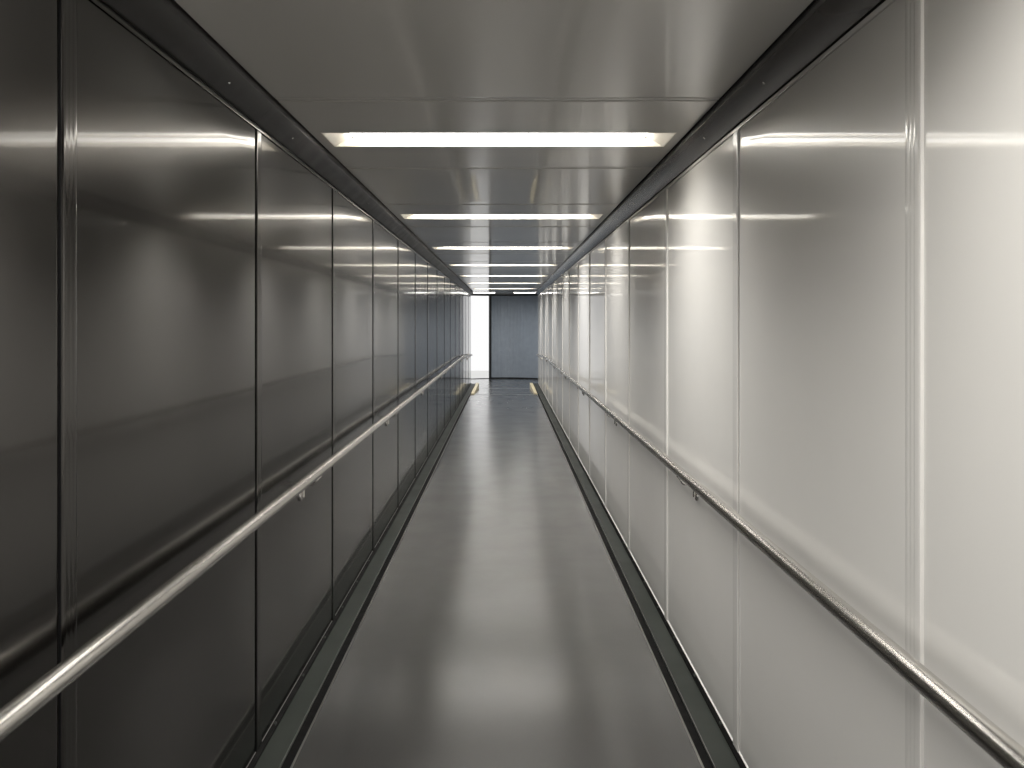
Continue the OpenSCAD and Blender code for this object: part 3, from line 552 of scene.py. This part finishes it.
class JETBRIDGE_OT_top_strips(bpy.types.Operator):
    """Laminate strips over the wall panels, with black strips in the gaps under and above them as painted shade"""
    bl_idname = "jetbridge.top_strips"
    bl_label = "Top strips"

    def execute(self, context):
        lines = bmesh.new()
        for side, word, slot in SIDES:
            bm = bmesh.new()
            for bay in range(BAYS):
                y0 = NEAR_Y + bay * BAY + (0.6 * MM if bay else 0)
                y1 = NEAR_Y + (bay + 1) * BAY - (0.6 * MM if bay < BAYS - 1 else 0)
                self.strip(bm, side, y0, y1)
            piece(word + "_top_strip", bm, slot, ("top_trims",) if side < 0 else ())
            # Black strips behind the gaps under and over each laminate strip: painted shade in the gaps
            for z0, z1 in ((STRIP_Z0 - 0.5 * MM, STRIP_Z0 + 4 * MM), (STRIP_Z1 - MM, CORNICE_Z + MM)):
                x0, x1 = WALL_X + 6 * MM, WALL_BACK - 0.5 * MM
                run(lines, side, [(x0, z0), (x0, z1), (x1, z1), (x1, z0)], (NEAR_Y, FAR_Y))
        piece("wall_shadow_lines", lines, "black_rubber")
        return {"FINISHED"}

    def strip(self, bm, side, y0, y1):
        face, r, low = WALL_X - MM, 1.2 * MM, STRIP_Z0 + 3 * MM
        section = [(WALL_BACK, low), (face + r, low), (face + 0.3 * r, low + 0.3 * r), (face, low + r),
                   (face, STRIP_Z1 - r), (face + 0.3 * r, STRIP_Z1 - 0.3 * r), (face + r, STRIP_Z1),
                   (WALL_BACK, STRIP_Z1)]
        run(bm, side, section, (y0, y1))


class JETBRIDGE_OT_cornices(bpy.types.Operator):
    """Cornices of bent sheet with an upright lip, in lengths of two panels, and their screws"""
    bl_idname = "jetbridge.cornices"
    bl_label = "Cornices"

    SCREW_OFF = 360 * MM                 # from the ends of each length
    # The sheet leans from its foot at the wall to its knee, where an upright lip of 23 mm starts
    FOOT = Vector((WALL_X, 0, CORNICE_Z))
    KNEE = Vector((CORNICE_X, 0, CEILING_Z - 23 * MM))

    def execute(self, context):
        screws, gaps = bmesh.new(), bmesh.new()
        # The right cornice takes a lighter copy of the same enamel: painted light
        for side, word, finish in ((-1, "left", "cornice_enamel"), (1, "right", "pale_cornice_enamel")):
            bm = bmesh.new()
            for bay in range(0, BAYS, 2):
                y0, y1 = NEAR_Y + bay * BAY, NEAR_Y + (bay + 2) * BAY
                self.cornice(bm, side, y0 + (0.3 * MM if bay else 0), y1 - (0.3 * MM if bay < BAYS - 2 else 0))
                for y in (y0 + self.SCREW_OFF, y1 - self.SCREW_OFF):
                    self.fixing(screws, side, y)
            piece(word + "_cornice", bm, "cornice_enamel", ("cornices",) if side < 0 else (), finish, 40)
            # Black strips behind the gap at the ceiling's edge and above the gaps between its panels: painted
            # shade in the gaps
            x0, x1 = CEILING_X + 0.3 * MM, CORNICE_X - 0.3 * MM
            run(gaps, side, [(x0, CEILING_Z + 7 * MM), (x0, CEILING_BACK), (x1, CEILING_BACK),
                             (x1, CEILING_Z + 7 * MM)], (NEAR_Y, FAR_Y))
        half = CEILING_HALF_GAP - 0.3 * MM
        z0, z1 = CEILING_Z + 8 * MM, CEILING_Z + 12 * MM
        for y in JOINT_YS:
            loft(gaps, [[(x, y - half, z0), (x, y + half, z0), (x, y + half, z1), (x, y - half, z1)]
                        for x in (-CEILING_X, CEILING_X)])
        piece("cornice_screws", screws, "trim_aluminium", finish="rail_stainless")
        piece("ceiling_gap_backing", gaps, "black_rubber")
        return {"FINISHED"}

    def cornice(self, bm, side, y0, y1):
        r, foot, knee = 3 * MM, self.FOOT, self.KNEE
        slope = (knee - foot).normalized()
        # The knee is turned to a radius that touches both the slope and the lip
        half = math.acos(-slope.dot(UP)) / 2
        reach = r / math.tan(half)
        start, end = knee - slope * reach, knee + UP * reach
        middle = end + Vector((r, 0, 0))
        a, b = start - middle, end - middle
        turned = [middle + (a * (1 - k / 5) + b * (k / 5)).normalized() * r for k in range(6)]
        section = [(WALL_BACK, CORNICE_Z), (WALL_X + 2 * MM, CORNICE_Z), (WALL_X + 0.4 * MM, CORNICE_Z + 0.4 * MM)]
        section += [(p.x, p.z) for p in turned]
        section += [(CORNICE_X, CEILING_BACK), (WALL_BACK, CEILING_BACK)]
        run(bm, side, section, (y0, y1))

    def fixing(self, bm, side, y):
        foot, knee = self.FOOT, self.KNEE
        facing = Vector((side * (foot.z - knee.z), 0, knee.x - foot.x)).normalized()
        middle = (foot + knee) / 2
        screw(bm, Vector((side * middle.x, y, middle.z)) + facing * 0.3 * MM, facing, 5 * MM)


class JETBRIDGE_OT_ceiling_panels(bpy.types.Operator):
    """Gloss ceiling panels with openings for the lights"""
    bl_idname = "jetbridge.ceiling_panels"
    bl_label = "Ceiling panels"

    def execute(self, context):
        sizes = context.scene.jet_bridge_sizes
        bm = bmesh.new()
        for bay in range(BAYS):
            self.panel(bm, bay, sizes)
        piece("ceiling_skin", bm, "ceiling_enamel", ("ceiling_panels",), flat=50)
        bm = bmesh.new()
        half, r, z = sizes.ceiling_strip / 2, MM, CEILING_Z + 0.5 * MM
        section = [(-half, z + 7 * MM), (-half, z + r), (-half + 0.3 * r, z + 0.3 * r), (-half + r, z),
                   (half - r, z), (half - 0.3 * r, z + 0.3 * r), (half, z + r), (half, z + 7 * MM)]
        for y in JOINT_YS:
            loft(bm, [[(x, y + v, w) for v, w in section] for x in (-CEILING_X, CEILING_X)])
        piece("ceiling_joint_strips", bm, "ceiling_strip", ("ceiling_strips",))
        return {"FINISHED"}

    def panel(self, bm, bay, sizes):
        y0 = NEAR_Y + bay * BAY + CEILING_HALF_GAP
        y1 = NEAR_Y + (bay + 1) * BAY - CEILING_HALF_GAP
        r = 1.5 * MM
        turned = rounded_steps(r, 3)
        # Points too near a light's opening are left out
        clear = 12 * MM
        xs = [x for x in spaced(-CEILING_X, CEILING_X, 30) if abs(abs(x) - LIGHT_X) > clear]
        xs += [-LIGHT_X, LIGHT_X]
        ys = [y0 + d for d in turned] + [y1 - d for d in turned]
        light = NEAR_Y + (bay + 0.5) * BAY
        hole = None
        if bay % 2 == 0:
            hole = (-LIGHT_X, LIGHT_X, light - LIGHT_HALF_Y, light + LIGHT_HALF_Y)
            ys += [hole[2], hole[3]]
        ys += [y for y in spaced(y0 + clear, y1 - clear, 24)
               if not hole or min(abs(y - hole[2]), abs(y - hole[3])) > clear]
        seed = bay * 5.3 + 100

        def front(x, y):
            near = min(y - y0, y1 - y)
            wide = CEILING_X - abs(x)
            wave = noise.noise(Vector((x / 0.42, y / 0.36, seed))) * sizes.ceiling_wave * 2
            wave *= fade(near, 60 * MM) * fade(wide, 60 * MM)
            if hole:
                beside = max(abs(x) - LIGHT_X, abs(y - light) - LIGHT_HALF_Y)
                wave *= fade(beside, 60 * MM)
            return Vector((x, y, CEILING_Z + edge_fall(near, r) + wave))

        def back(x, y):
            return Vector((x, y, CEILING_BACK))

        skin(bm, sorted(set(xs)), sorted(set(ys)), front, back, hole)


class JETBRIDGE_OT_light_rims(bpy.types.Operator):
    """Thin bright frames round the recessed lights"""
    bl_idname = "jetbridge.light_rims"
    bl_label = "Light rims"

    def execute(self, context):
        bm = bmesh.new()
        # Section from the opening outwards: (how far outside the opening, how far below the ceiling)
        section = [(-1, -10), (-1, 0.6), (-0.5, 1.2), (0.4, 1.4), (4.2, 1.0), (5, 0.4), (5, -0.4), (0.2, -0.4),
                   (0.2, -10)]
        for y in LIGHT_YS:
            loft(bm, [[(sx * (LIGHT_X + out * MM), y + sy * (LIGHT_HALF_Y + out * MM), CEILING_Z - down * MM)
                       for out, down in section] for sx, sy in ((-1, -1), (1, -1), (1, 1), (-1, 1))], closed=True)
        piece("light_rims", bm, "trim_aluminium", finish="lamp_enamel")
        return {"FINISHED"}


class JETBRIDGE_OT_handrails(bpy.types.Operator):
    """Stainless tube handrails with elbows back to the wall and a sleeve at their bend"""
    bl_idname = "jetbridge.handrails"
    bl_label = "Handrails"

    def execute(self, context):
        radius = context.scene.jet_bridge_sizes.rail_diameter / 2
        for side, word, _ in SIDES:
            bm = bmesh.new()
            self.rail(bm, side, radius)
            piece(word + "_handrail_tube", bm, "rail_stainless", (word + "_handrail",), flat=40)
        return {"FINISHED"}

    def rail(self, bm, side, radius):
        out = Vector((side, 0, 0))
        x, end_z = side * RAIL_X, RAIL_Z - RAIL_FALL
        tip, elbow = side * (WALL_X - 4 * MM), x + side * ELBOW_R
        points = [Vector((tip, RAIL_NEAR_Y, RAIL_Z))]
        points += bend((elbow, RAIL_NEAR_Y + ELBOW_R, RAIL_Z), ELBOW_R, (-ALONG, -out), 0, 90, 14)
        points += [Vector((x, RAIL_BEND_Y, RAIL_Z))]
        points += bend((elbow, RAIL_END_Y - ELBOW_R, end_z), ELBOW_R, (-out, ALONG), 0, 90, 14)
        points += [Vector((tip, RAIL_END_Y, end_z))]
        sweep(bm, points, radius, 48)
        for y, z in ((RAIL_NEAR_Y, RAIL_Z), (RAIL_END_Y, end_z)):
            foot = Vector((side * WALL_X, y, z))
            disc(bm, foot, -out, 35 * MM, 8 * MM, 2 * MM)
            for k in range(3):
                a = math.radians(90 + 120 * k)
                screw(bm, foot - out * 8 * MM + Vector((0, math.cos(a), math.sin(a))) * 28.5 * MM, -out, 3.6 * MM)
        # The sleeve's section in millimetres: (over the tube's surface, along the tube)
        sleeve = [(-1, 0), (1.8, 0), (2.6, 0.4), (3, 1.2), (3, 58.8), (2.6, 59.6), (1.8, 60), (-1, 60)]
        turn(bm, scaled(sleeve, MM, radius), (x, RAIL_BEND_Y - 30 * MM, RAIL_Z), ALONG, 48)


class JETBRIDGE_OT_rail_brackets(bpy.types.Operator):
    """Brackets under the handrails: a saddle, an S-bent rod and a round wall plate"""
    bl_idname = "jetbridge.rail_brackets"
    bl_label = "Rail brackets"

    OFF = 600 * MM                       # from the start of every second bay

    def execute(self, context):
        bm = bmesh.new()
        radius = context.scene.jet_bridge_sizes.rail_diameter / 2
        for bay in range(0, BAYS, 2):
            y, z = NEAR_Y + bay * BAY + self.OFF, RAIL_Z
            if y > RAIL_BEND_Y:
                z -= RAIL_FALL * (y - RAIL_BEND_Y) / (RAIL_END_Y - RAIL_BEND_Y)
            for side in (-1, 1):
                self.bracket(bm, side, y, z, radius)
        piece("rail_bracket_set", bm, "rail_stainless", ("rail_brackets",), flat=40)
        return {"FINISHED"}

    def bracket(self, bm, side, y, z, radius):
        out = Vector((side, 0, 0))
        axis = Vector((side * RAIL_X, y, z))
        # The saddle follows the underside of the tube
        inner, outer = radius + 0.2 * MM, radius + 3.6 * MM
        arc = [math.radians(a) for a in range(-125, -54, 7)]
        section = [(outer * math.cos(a), outer * math.sin(a)) for a in arc]
        section += [(inner * math.cos(a), inner * math.sin(a)) for a in reversed(arc)]
        sweep(bm, [axis + ALONG * k * MM for k in (-40, 40)], 0, section=section)
        for k in (-28, 28):
            screw(bm, axis + Vector((0, k * MM, -outer)), -UP, 4 * MM)
        points = [axis - UP * (outer - 2 * MM)]
        points += bend(axis + out * 20 * MM - UP * 27 * MM, 20 * MM, (-out, -UP), 0, 90, 8)
        points += bend(axis + out * 37 * MM - UP * 67 * MM, 20 * MM, (UP, out), 0, 90, 8)
        points += [axis + out * 57 * MM - UP * 103 * MM]
        sweep(bm, points, 6 * MM, 20)
        # A collar covers the rod's joint with the saddle
        collar = scaled([(0, 0), (9, 0), (9, 2), (8, 3.4), (6, 4), (0, 4)])
        turn(bm, collar, axis - UP * (outer + 3.5 * MM), UP, 24)
        plate = axis + out * (WALL_X - RAIL_X) - UP * 95 * MM
        disc(bm, plate, -out, 25 * MM, 8 * MM, 2.5 * MM)
        for k in (-1, 1):
            screw(bm, plate - out * 8 * MM + ALONG * k * 16 * MM, -out, 4 * MM)


class JETBRIDGE_OT_wall_beads(bpy.types.Operator):
    """Beads under the wall panels, bright on the left and pale on the right, their clips and the kerbs' nosings"""
    bl_idname = "jetbridge.wall_beads"
    bl_label = "Wall beads and clips"

    def execute(self, context):
        sizes = context.scene.jet_bridge_sizes
        beads, bevels, clips = bmesh.new(), bmesh.new(), bmesh.new()
        for side, bead, height in ((-1, beads, sizes.left_bead), (1, bevels, sizes.right_bead)):
            for bay in range(BAYS):
                joint = NEAR_Y + bay * BAY
                self.bead(bead, side, joint + HEM + 6 * MM, joint + BAY - SEAM_HALF, height)
                for k in (1 / 6, 1 / 2, 5 / 6):
                    self.clip(clips, side, joint + k * BAY)
            # A thin bright strip let into the kerb's inner edge
            section = [(-0.4, -1), (-0.4, 6.4), (0.4, 6.9), (3, 6.9), (3.4, 6.2), (3.4, -1)]
            run(beads, side, scaled(section, MM, KERB_X, FLOOR_Z), (NEAR_Y, FAR_Y))
        piece("wall_beads", beads, "trim_aluminium")
        piece("right_wall_beads", bevels, "grey_seal")
        piece("base_clips", clips, "rail_stainless", finish="kerb_enamel")
        return {"FINISHED"}

    def bead(self, bm, side, y0, y1, height):
        face, z = WALL_X, WALL_Z0
        stand = 0.5 * height
        inside = face + 2 * MM
        section = [(face - stand + 0.4 * MM, z), (face - stand, z + 0.4 * MM), (face - stand, z + 0.25 * height),
                   (face - 0.3 * MM, z + height - 0.2 * MM), (face, z + height), (inside, z + height), (inside, z)]
        run(bm, side, section, (y0, y0 + MM, y1 - MM, y1))

    def clip(self, bm, side, y):
        top = FLOOR_Z + 24 * MM
        soft_box(bm, (side * (WALL_X - 12 * MM), y - 11 * MM, top - 12 * MM),
                 (side * (WALL_X - MM), y + 11 * MM, top), 1.5 * MM)
        screw(bm, (side * (WALL_X - 9 * MM), y, top), UP, 3 * MM)


class JETBRIDGE_OT_sheet_fixings(bpy.types.Operator):
    """Screws of the outer sheets, bolts of the wall posts and bolted splices in the bottom chords"""
    bl_idname = "jetbridge.sheet_fixings"
    bl_label = "Sheet fixings"

    SPLICED_BAYS = (6, 10)

    def execute(self, context):
        screws, bolts, plates = bmesh.new(), bmesh.new(), bmesh.new()
        for side in (-1, 1):
            out = Vector((side, 0, 0))
            for start, end in zip(POST_YS, POST_YS[1:]):
                start, end = start + POST_HALF, end - POST_HALF
                valleys = spaced(start, end, math.floor((end - start) / RIB_PITCH + 1e-6))[1:-1]
                for y in valleys:
                    for z in (SHEET_Z0 + 70 * MM, (SHEET_Z0 + SHEET_Z1) / 2, SHEET_Z1 - 70 * MM):
                        bolt(screws, (side * VALLEY_X, y, z), out, 6.5 * MM)
            for y in POST_YS:
                for z in (SHEET_Z0 + 60 * MM, SHEET_Z0 + 150 * MM, SHEET_Z1 - 150 * MM, SHEET_Z1 - 60 * MM):
                    for dy in (-32 * MM, 32 * MM):
                        bolt(bolts, (side * POST_X, y + dy, z), out, 13 * MM)
            for bay in self.SPLICED_BAYS:
                y, face = NEAR_Y + bay * BAY, side * (CHORD_X + 12 * MM)
                soft_box(plates, (side * (CHORD_X - MM), y - 210 * MM, CHORD_Z0 + 60 * MM),
                         (face, y + 210 * MM, CHORD_Z1 - 60 * MM), 2 * MM)
                for dy in (-165 * MM, -95 * MM, 95 * MM, 165 * MM):
                    for z in spaced(CHORD_Z0 + 110 * MM, CHORD_Z1 - 110 * MM, 2):
                        bolt(bolts, (face, y + dy, z), out, 15 * MM)
        piece("sheet_screws", screws, "trim_aluminium", finish="sheet_paint")
        piece("post_bolts", bolts, "frame_paint")
        piece("splice_plates", plates, "frame_paint")
        return {"FINISHED"}


class JETBRIDGE_OT_roof_fixings(bpy.types.Operator):
    """Clamps along the roof's seams and straps round the gutters"""
    bl_idname = "jetbridge.roof_fixings"
    bl_label = "Roof fixings"

    CLAMP_XS = (-900 * MM, -600 * MM, -300 * MM, 300 * MM, 600 * MM, 900 * MM)
    # Section of a strap in millimetres: (outwards from the chord, above the gutter's middle)
    STRAP = ((0.5, -33.5), (53.5, -33.5), (53.5, 33.5), (44, 33.5), (44, 30.3), (50.2, 30.3), (50.2, -30.3),
             (0.5, -30.3))

    def execute(self, context):
        clamps, straps = bmesh.new(), bmesh.new()
        for k in range(BAYS // 2 + 1):
            y = min(max(NEAR_Y + 2 * k * BAY, NEAR_Y + 15 * MM), FAR_Y - 15 * MM)
            for x in self.CLAMP_XS:
                z = ROOF_Z + ROOF_SEAM + ROOF_RISE * (1 - abs(x) / CHORD_X)
                bolt(clamps, (x, y, z), UP, 8 * MM)
                if 0 < k < BAYS // 2:
                    soft_box(clamps, (x - 20 * MM, y - 26 * MM, z - 27 * MM),
                             (x + 20 * MM, y + 26 * MM, z - 12 * MM), 2 * MM)
        strap = scaled(self.STRAP, MM, CHORD_X, ROOF_Z)
        for side in (-1, 1):
            for bay in range(BAYS):
                y = NEAR_Y + (bay + 0.5) * BAY
                run(straps, side, strap, (y - 15 * MM, y + 15 * MM))
                bolt(straps, (side * (CHORD_X + 53.5 * MM), y, ROOF_Z + 12 * MM), (side, 0, 0), 5 * MM)
        piece("roof_seam_clamps", clamps, "sheet_paint")
        piece("gutter_straps", straps, "frame_paint")
        return {"FINISHED"}


class JETBRIDGE_OT_support_fixings(bpy.types.Operator):
    """Bolted flanges where the supports' columns meet the head beam and the tie beam"""
    bl_idname = "jetbridge.support_fixings"
    bl_label = "Support fixings"

    # How far the flanges and their bolts stand from the middle of the column or beam
    HEAD_PLATE, HEAD_BOLT = COLUMN_HALF + 40 * MM, COLUMN_HALF + 21 * MM
    TIE_PLATE, TIE_BOLT = 142 * MM, 121 * MM

    def execute(self, context):
        plates, bolts = bmesh.new(), bmesh.new()
        for name in ("near_support", "far_support"):
            lo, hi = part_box(name)
            for side in (-1, 1):
                self.head(plates, bolts, side, (lo.y + hi.y) / 2, hi.z - HEAD_BEAM)
                self.tie(plates, bolts, side, (lo.y + hi.y) / 2)
        piece("support_flanges", plates, "frame_paint")
        piece("support_bolts", bolts, "frame_paint")
        return {"FINISHED"}

    def head(self, plates, bolts, side, y, z):
        x, half, off = side * COLUMN_X, self.HEAD_PLATE, self.HEAD_BOLT
        soft_box(plates, (x - half, y - half, z - 20 * MM), (x + half, y + half, z + 4 * MM), 2 * MM)
        for dx, dy in ((-100 * MM, -off), (100 * MM, -off), (-100 * MM, off), (100 * MM, off),
                       (off * side, -80 * MM), (off * side, 80 * MM)):
            bolt(bolts, (x + dx, y + dy, z - 20 * MM), -UP, 12 * MM)

    def tie(self, plates, bolts, side, y):
        inner, half, tall = COLUMN_X - COLUMN_HALF, self.TIE_PLATE, 140 * MM
        face = side * (inner - 16 * MM)
        soft_box(plates, (face, y - half, TIE_Z - tall), (side * (inner + MM), y + half, TIE_Z + tall), 2 * MM)
        for dy in (-self.TIE_BOLT, self.TIE_BOLT):
            for dz in (-100 * MM, 0, 100 * MM):
                bolt(bolts, (face, y + dy, TIE_Z + dz), (-side, 0, 0), 11 * MM)


class JETBRIDGE_OT_cab_fixings(bpy.types.Operator):
    """Screws of the cab's roof rim and curtain housings, and the bumper's bolts in their steel cups"""
    bl_idname = "jetbridge.cab_fixings"
    bl_label = "Cab fixings"

    # Angles in degrees, counted to the left of straight ahead
    RIM_STEP = 11.5
    BUMPER_START, BUMPER_END = 17.5, 69.5
    # A bumper bolt's cup in millimetres: (radius, height over the bumper's face)
    CUP = ((0, -6), (20, -6), (20, 0.6), (18.5, 1.6), (16, 1), (14, -3), (0, -3))

    def execute(self, context):
        screws, cups = bmesh.new(), bmesh.new()
        rim_lo, rim_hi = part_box("cab_roof")
        for k in range(-9, 10):
            out, foot = self.place(rim_hi.x, k * self.RIM_STEP, rim_lo.z + 40 * MM)
            bolt(screws, foot, out, 6 * MM)
        z = sum(span("bumper", "z")) / 2
        for a in spaced(self.BUMPER_START, self.BUMPER_END, 6):
            out, foot = self.place(rim_hi.x, a, z)
            turn(cups, scaled(self.CUP), foot, out, 24)
            bolt(cups, foot - out * 3 * MM, out, 9 * MM)
        lo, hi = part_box("curtain_housings")
        for side in (-1, 1):
            for z in spaced(lo.z + 90 * MM, hi.z - 90 * MM, 6):
                for y in (lo.y + 25 * MM, hi.y - 25 * MM):
                    bolt(screws, (side * hi.x, y, z), (side, 0, 0), 6 * MM)
                bolt(screws, (side * (hi.x - 25 * MM), lo.y, z), -ALONG, 6 * MM)
        piece("cab_screws", screws, "frame_paint")
        piece("bumper_bolts", cups, "trim_aluminium", finish="rail_stainless")
        return {"FINISHED"}

    def place(self, radius, a, z):
        """The direction outwards at an angle, and the point at that radius from the cab's middle."""
        out = Vector((-math.sin(math.radians(a)), math.cos(math.radians(a)), 0))
        return out, Vector((0, CAB_Y, z)) + out * radius


class JETBRIDGE_OT_frame_finishes(bpy.types.Operator):
    """Gives every solid of the construction model its real surface, save the trims at the walls' feet, which are
    painted black as shade
    """
    bl_idname = "jetbridge.frame_finishes"
    bl_label = "Frame finishes"

    def execute(self, context):
        for name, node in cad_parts.items():
            for held in node.material_slots:
                slot = held.material.name.split(".")[0]
                if slot not in MATERIALS:
                    raise RuntimeError(f"{name} has a material slot with no surface: {slot}")
                # The trims at the walls' feet are given black rubber: painted shade for the dark groove they lie
                # in
                held.material = MATERIALS["black_rubber" if name == "base_trims" else slot]
        return {"FINISHED"}


class JETBRIDGE_OT_stage(bpy.types.Operator):
    """The pale floor, the lamps, the sky and the camera"""
    bl_idname = "jetbridge.stage"
    bl_label = "Stage"

    # Power of the lamps in watts, and of the sun in watts per square metre
    NEAREST_LAMP, TUNNEL_LAMP, CAB_LAMP, FILL_LAMP, SUN = 28.0, 37.0, 44.0, 14.0, 1.9
    # Where the photograph was taken from
    EYE = (29 * MM, NEAR_Y - 331 * MM, FLOOR_Z + 1570 * MM)

    def execute(self, context):
        self.ground()
        self.sky(context.scene)
        for y in LIGHT_YS:
            power = self.NEAREST_LAMP if y == LIGHT_YS[0] else self.TUNNEL_LAMP
            self.lamp("tunnel_lamp", (0, y, CEILING_Z + 12 * MM), (1.05, 0.22), power)
        y, z = sum(span("cab_lights", "y")) / 2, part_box("cab_lights")[0].z - 16 * MM
        for x in (-550 * MM, 550 * MM):
            self.lamp("cab_lamp", (x, y, z), (0.56, 0.12), self.CAB_LAMP, spread=172)
        # A long soft panel beside the left wall stands for the light that the real tunnel throws back and forth
        self.lamp("fill_lamp", (40 * MM - WALL_X, (NEAR_Y + FAR_Y) / 2, FLOOR_Z + 950 * MM), (18.6, 0.8),
                  self.FILL_LAMP, (90, 0, -90), 70)
        sun = placed("sun", bpy.data.lights.new("sun", "SUN"), energy=self.SUN, angle=math.radians(25))
        sun.rotation_euler = Vector((0.8, 0.12, 0.95)).to_track_quat("Z", "Y").to_euler()
        self.camera(context.scene)
        return {"FINISHED"}

    def ground(self):
        bm = bmesh.new()
        bmesh.ops.create_circle(bm, cap_ends=True, segments=96, radius=70)
        mesh = bpy.data.meshes.new("ground")
        bm.to_mesh(mesh)
        bm.free()
        # Fine plaster, rolled on: an even pale ground that keeps the bridge's shadow
        mat = surface("plaster_floor_rolled", "#e6e6e4", "#e4e4e2", 2000, (0.6, 0.7), 20)
        mesh.materials.append(mat)
        placed("ground", mesh)

    def sky(self, scene):
        world = bpy.data.worlds.new("studio")
        scene.world = world
        world.use_nodes = True
        tree = world.node_tree
        shade = tree.nodes["Background"]
        path = add(tree, "ShaderNodeLightPath")
        seen = path.outputs["Is Camera Ray"]
        for ray in ("Is Glossy Ray", "Is Transmission Ray"):
            seen = add(tree, "ShaderNodeMath", {0: seen, 1: path.outputs[ray]}, operation="MAXIMUM").outputs[0]
        # Camera, gloss and glass see plain white, and the surfaces are lit by less than half of it
        strength = add(tree, "ShaderNodeMapRange", {"Value": seen, "To Min": 0.45, "To Max": 1.0})
        tree.links.new(strength.outputs[0], shade.inputs["Strength"])
        shade.inputs["Color"].default_value = (1, 1, 1, 1)

    def lamp(self, name, at, size, power, turned=(0, 0, 0), spread=140):
        """A soft rectangular lamp that the camera doesn't see; it faces down unless turned."""
        obj = placed(name, bpy.data.lights.new(name, "AREA"), at, turned, shape="RECTANGLE", size=size[0],
                     size_y=size[1], energy=power, spread=math.radians(spread), color=(1.0, 0.99, 0.975))
        obj.visible_camera = False
        obj.visible_glossy = False

    def camera(self, scene):
        scene.camera = placed("camera", bpy.data.cameras.new("camera"), self.EYE, (90, 0, 0), lens=27.035,
                              sensor_width=36, shift_x=0.00635, shift_y=-0.0596, clip_start=0.05, clip_end=300)


class JETBRIDGE_PT_panel(bpy.types.Panel):
    """Lists the pieces of the jet bridge"""
    bl_label = "Jet Bridge"
    bl_idname = "JETBRIDGE_PT_panel"
    bl_space_type = "VIEW_3D"
    bl_region_type = "UI"
    bl_category = "Jet Bridge"

    def draw(self, context):
        column = self.layout.column(align=True)
        for operator in OPERATORS:
            column.operator(operator.bl_idname)
        for group in (context.scene.jet_bridge_sizes, context.scene.jet_bridge_colours):
            column.separator()
            for key in group.__annotations__:
                column.prop(group, key)


OPERATORS = (
    JETBRIDGE_OT_frame_finishes,
    JETBRIDGE_OT_wall_panels,
    JETBRIDGE_OT_joint_profiles,
    JETBRIDGE_OT_top_strips,
    JETBRIDGE_OT_cornices,
    JETBRIDGE_OT_ceiling_panels,
    JETBRIDGE_OT_light_rims,
    JETBRIDGE_OT_handrails,
    JETBRIDGE_OT_rail_brackets,
    JETBRIDGE_OT_wall_beads,
    JETBRIDGE_OT_sheet_fixings,
    JETBRIDGE_OT_roof_fixings,
    JETBRIDGE_OT_support_fixings,
    JETBRIDGE_OT_cab_fixings,
    JETBRIDGE_OT_stage,
)
CLASSES = (JetBridgeSizes, JetBridgeColours) + OPERATORS + (JETBRIDGE_PT_panel,)


def register():
    for cls in CLASSES:
        bpy.utils.register_class(cls)
    bpy.types.Scene.jet_bridge_sizes = bpy.props.PointerProperty(type=JetBridgeSizes)
    bpy.types.Scene.jet_bridge_colours = bpy.props.PointerProperty(type=JetBridgeColours)


def unregister():
    del bpy.types.Scene.jet_bridge_colours
    del bpy.types.Scene.jet_bridge_sizes
    for cls in reversed(CLASSES):
        bpy.utils.unregister_class(cls)


def main():
    register()
    bpy.context.scene.view_settings.view_transform = "Standard"
    MATERIALS.update(make_materials(bpy.context.scene.jet_bridge_colours))
    for operator in OPERATORS:
        group, name = operator.bl_idname.split(".")
        getattr(getattr(bpy.ops, group), name)()
    bpy.context.view_layer.update()


if __name__ == "__main__":
    main()
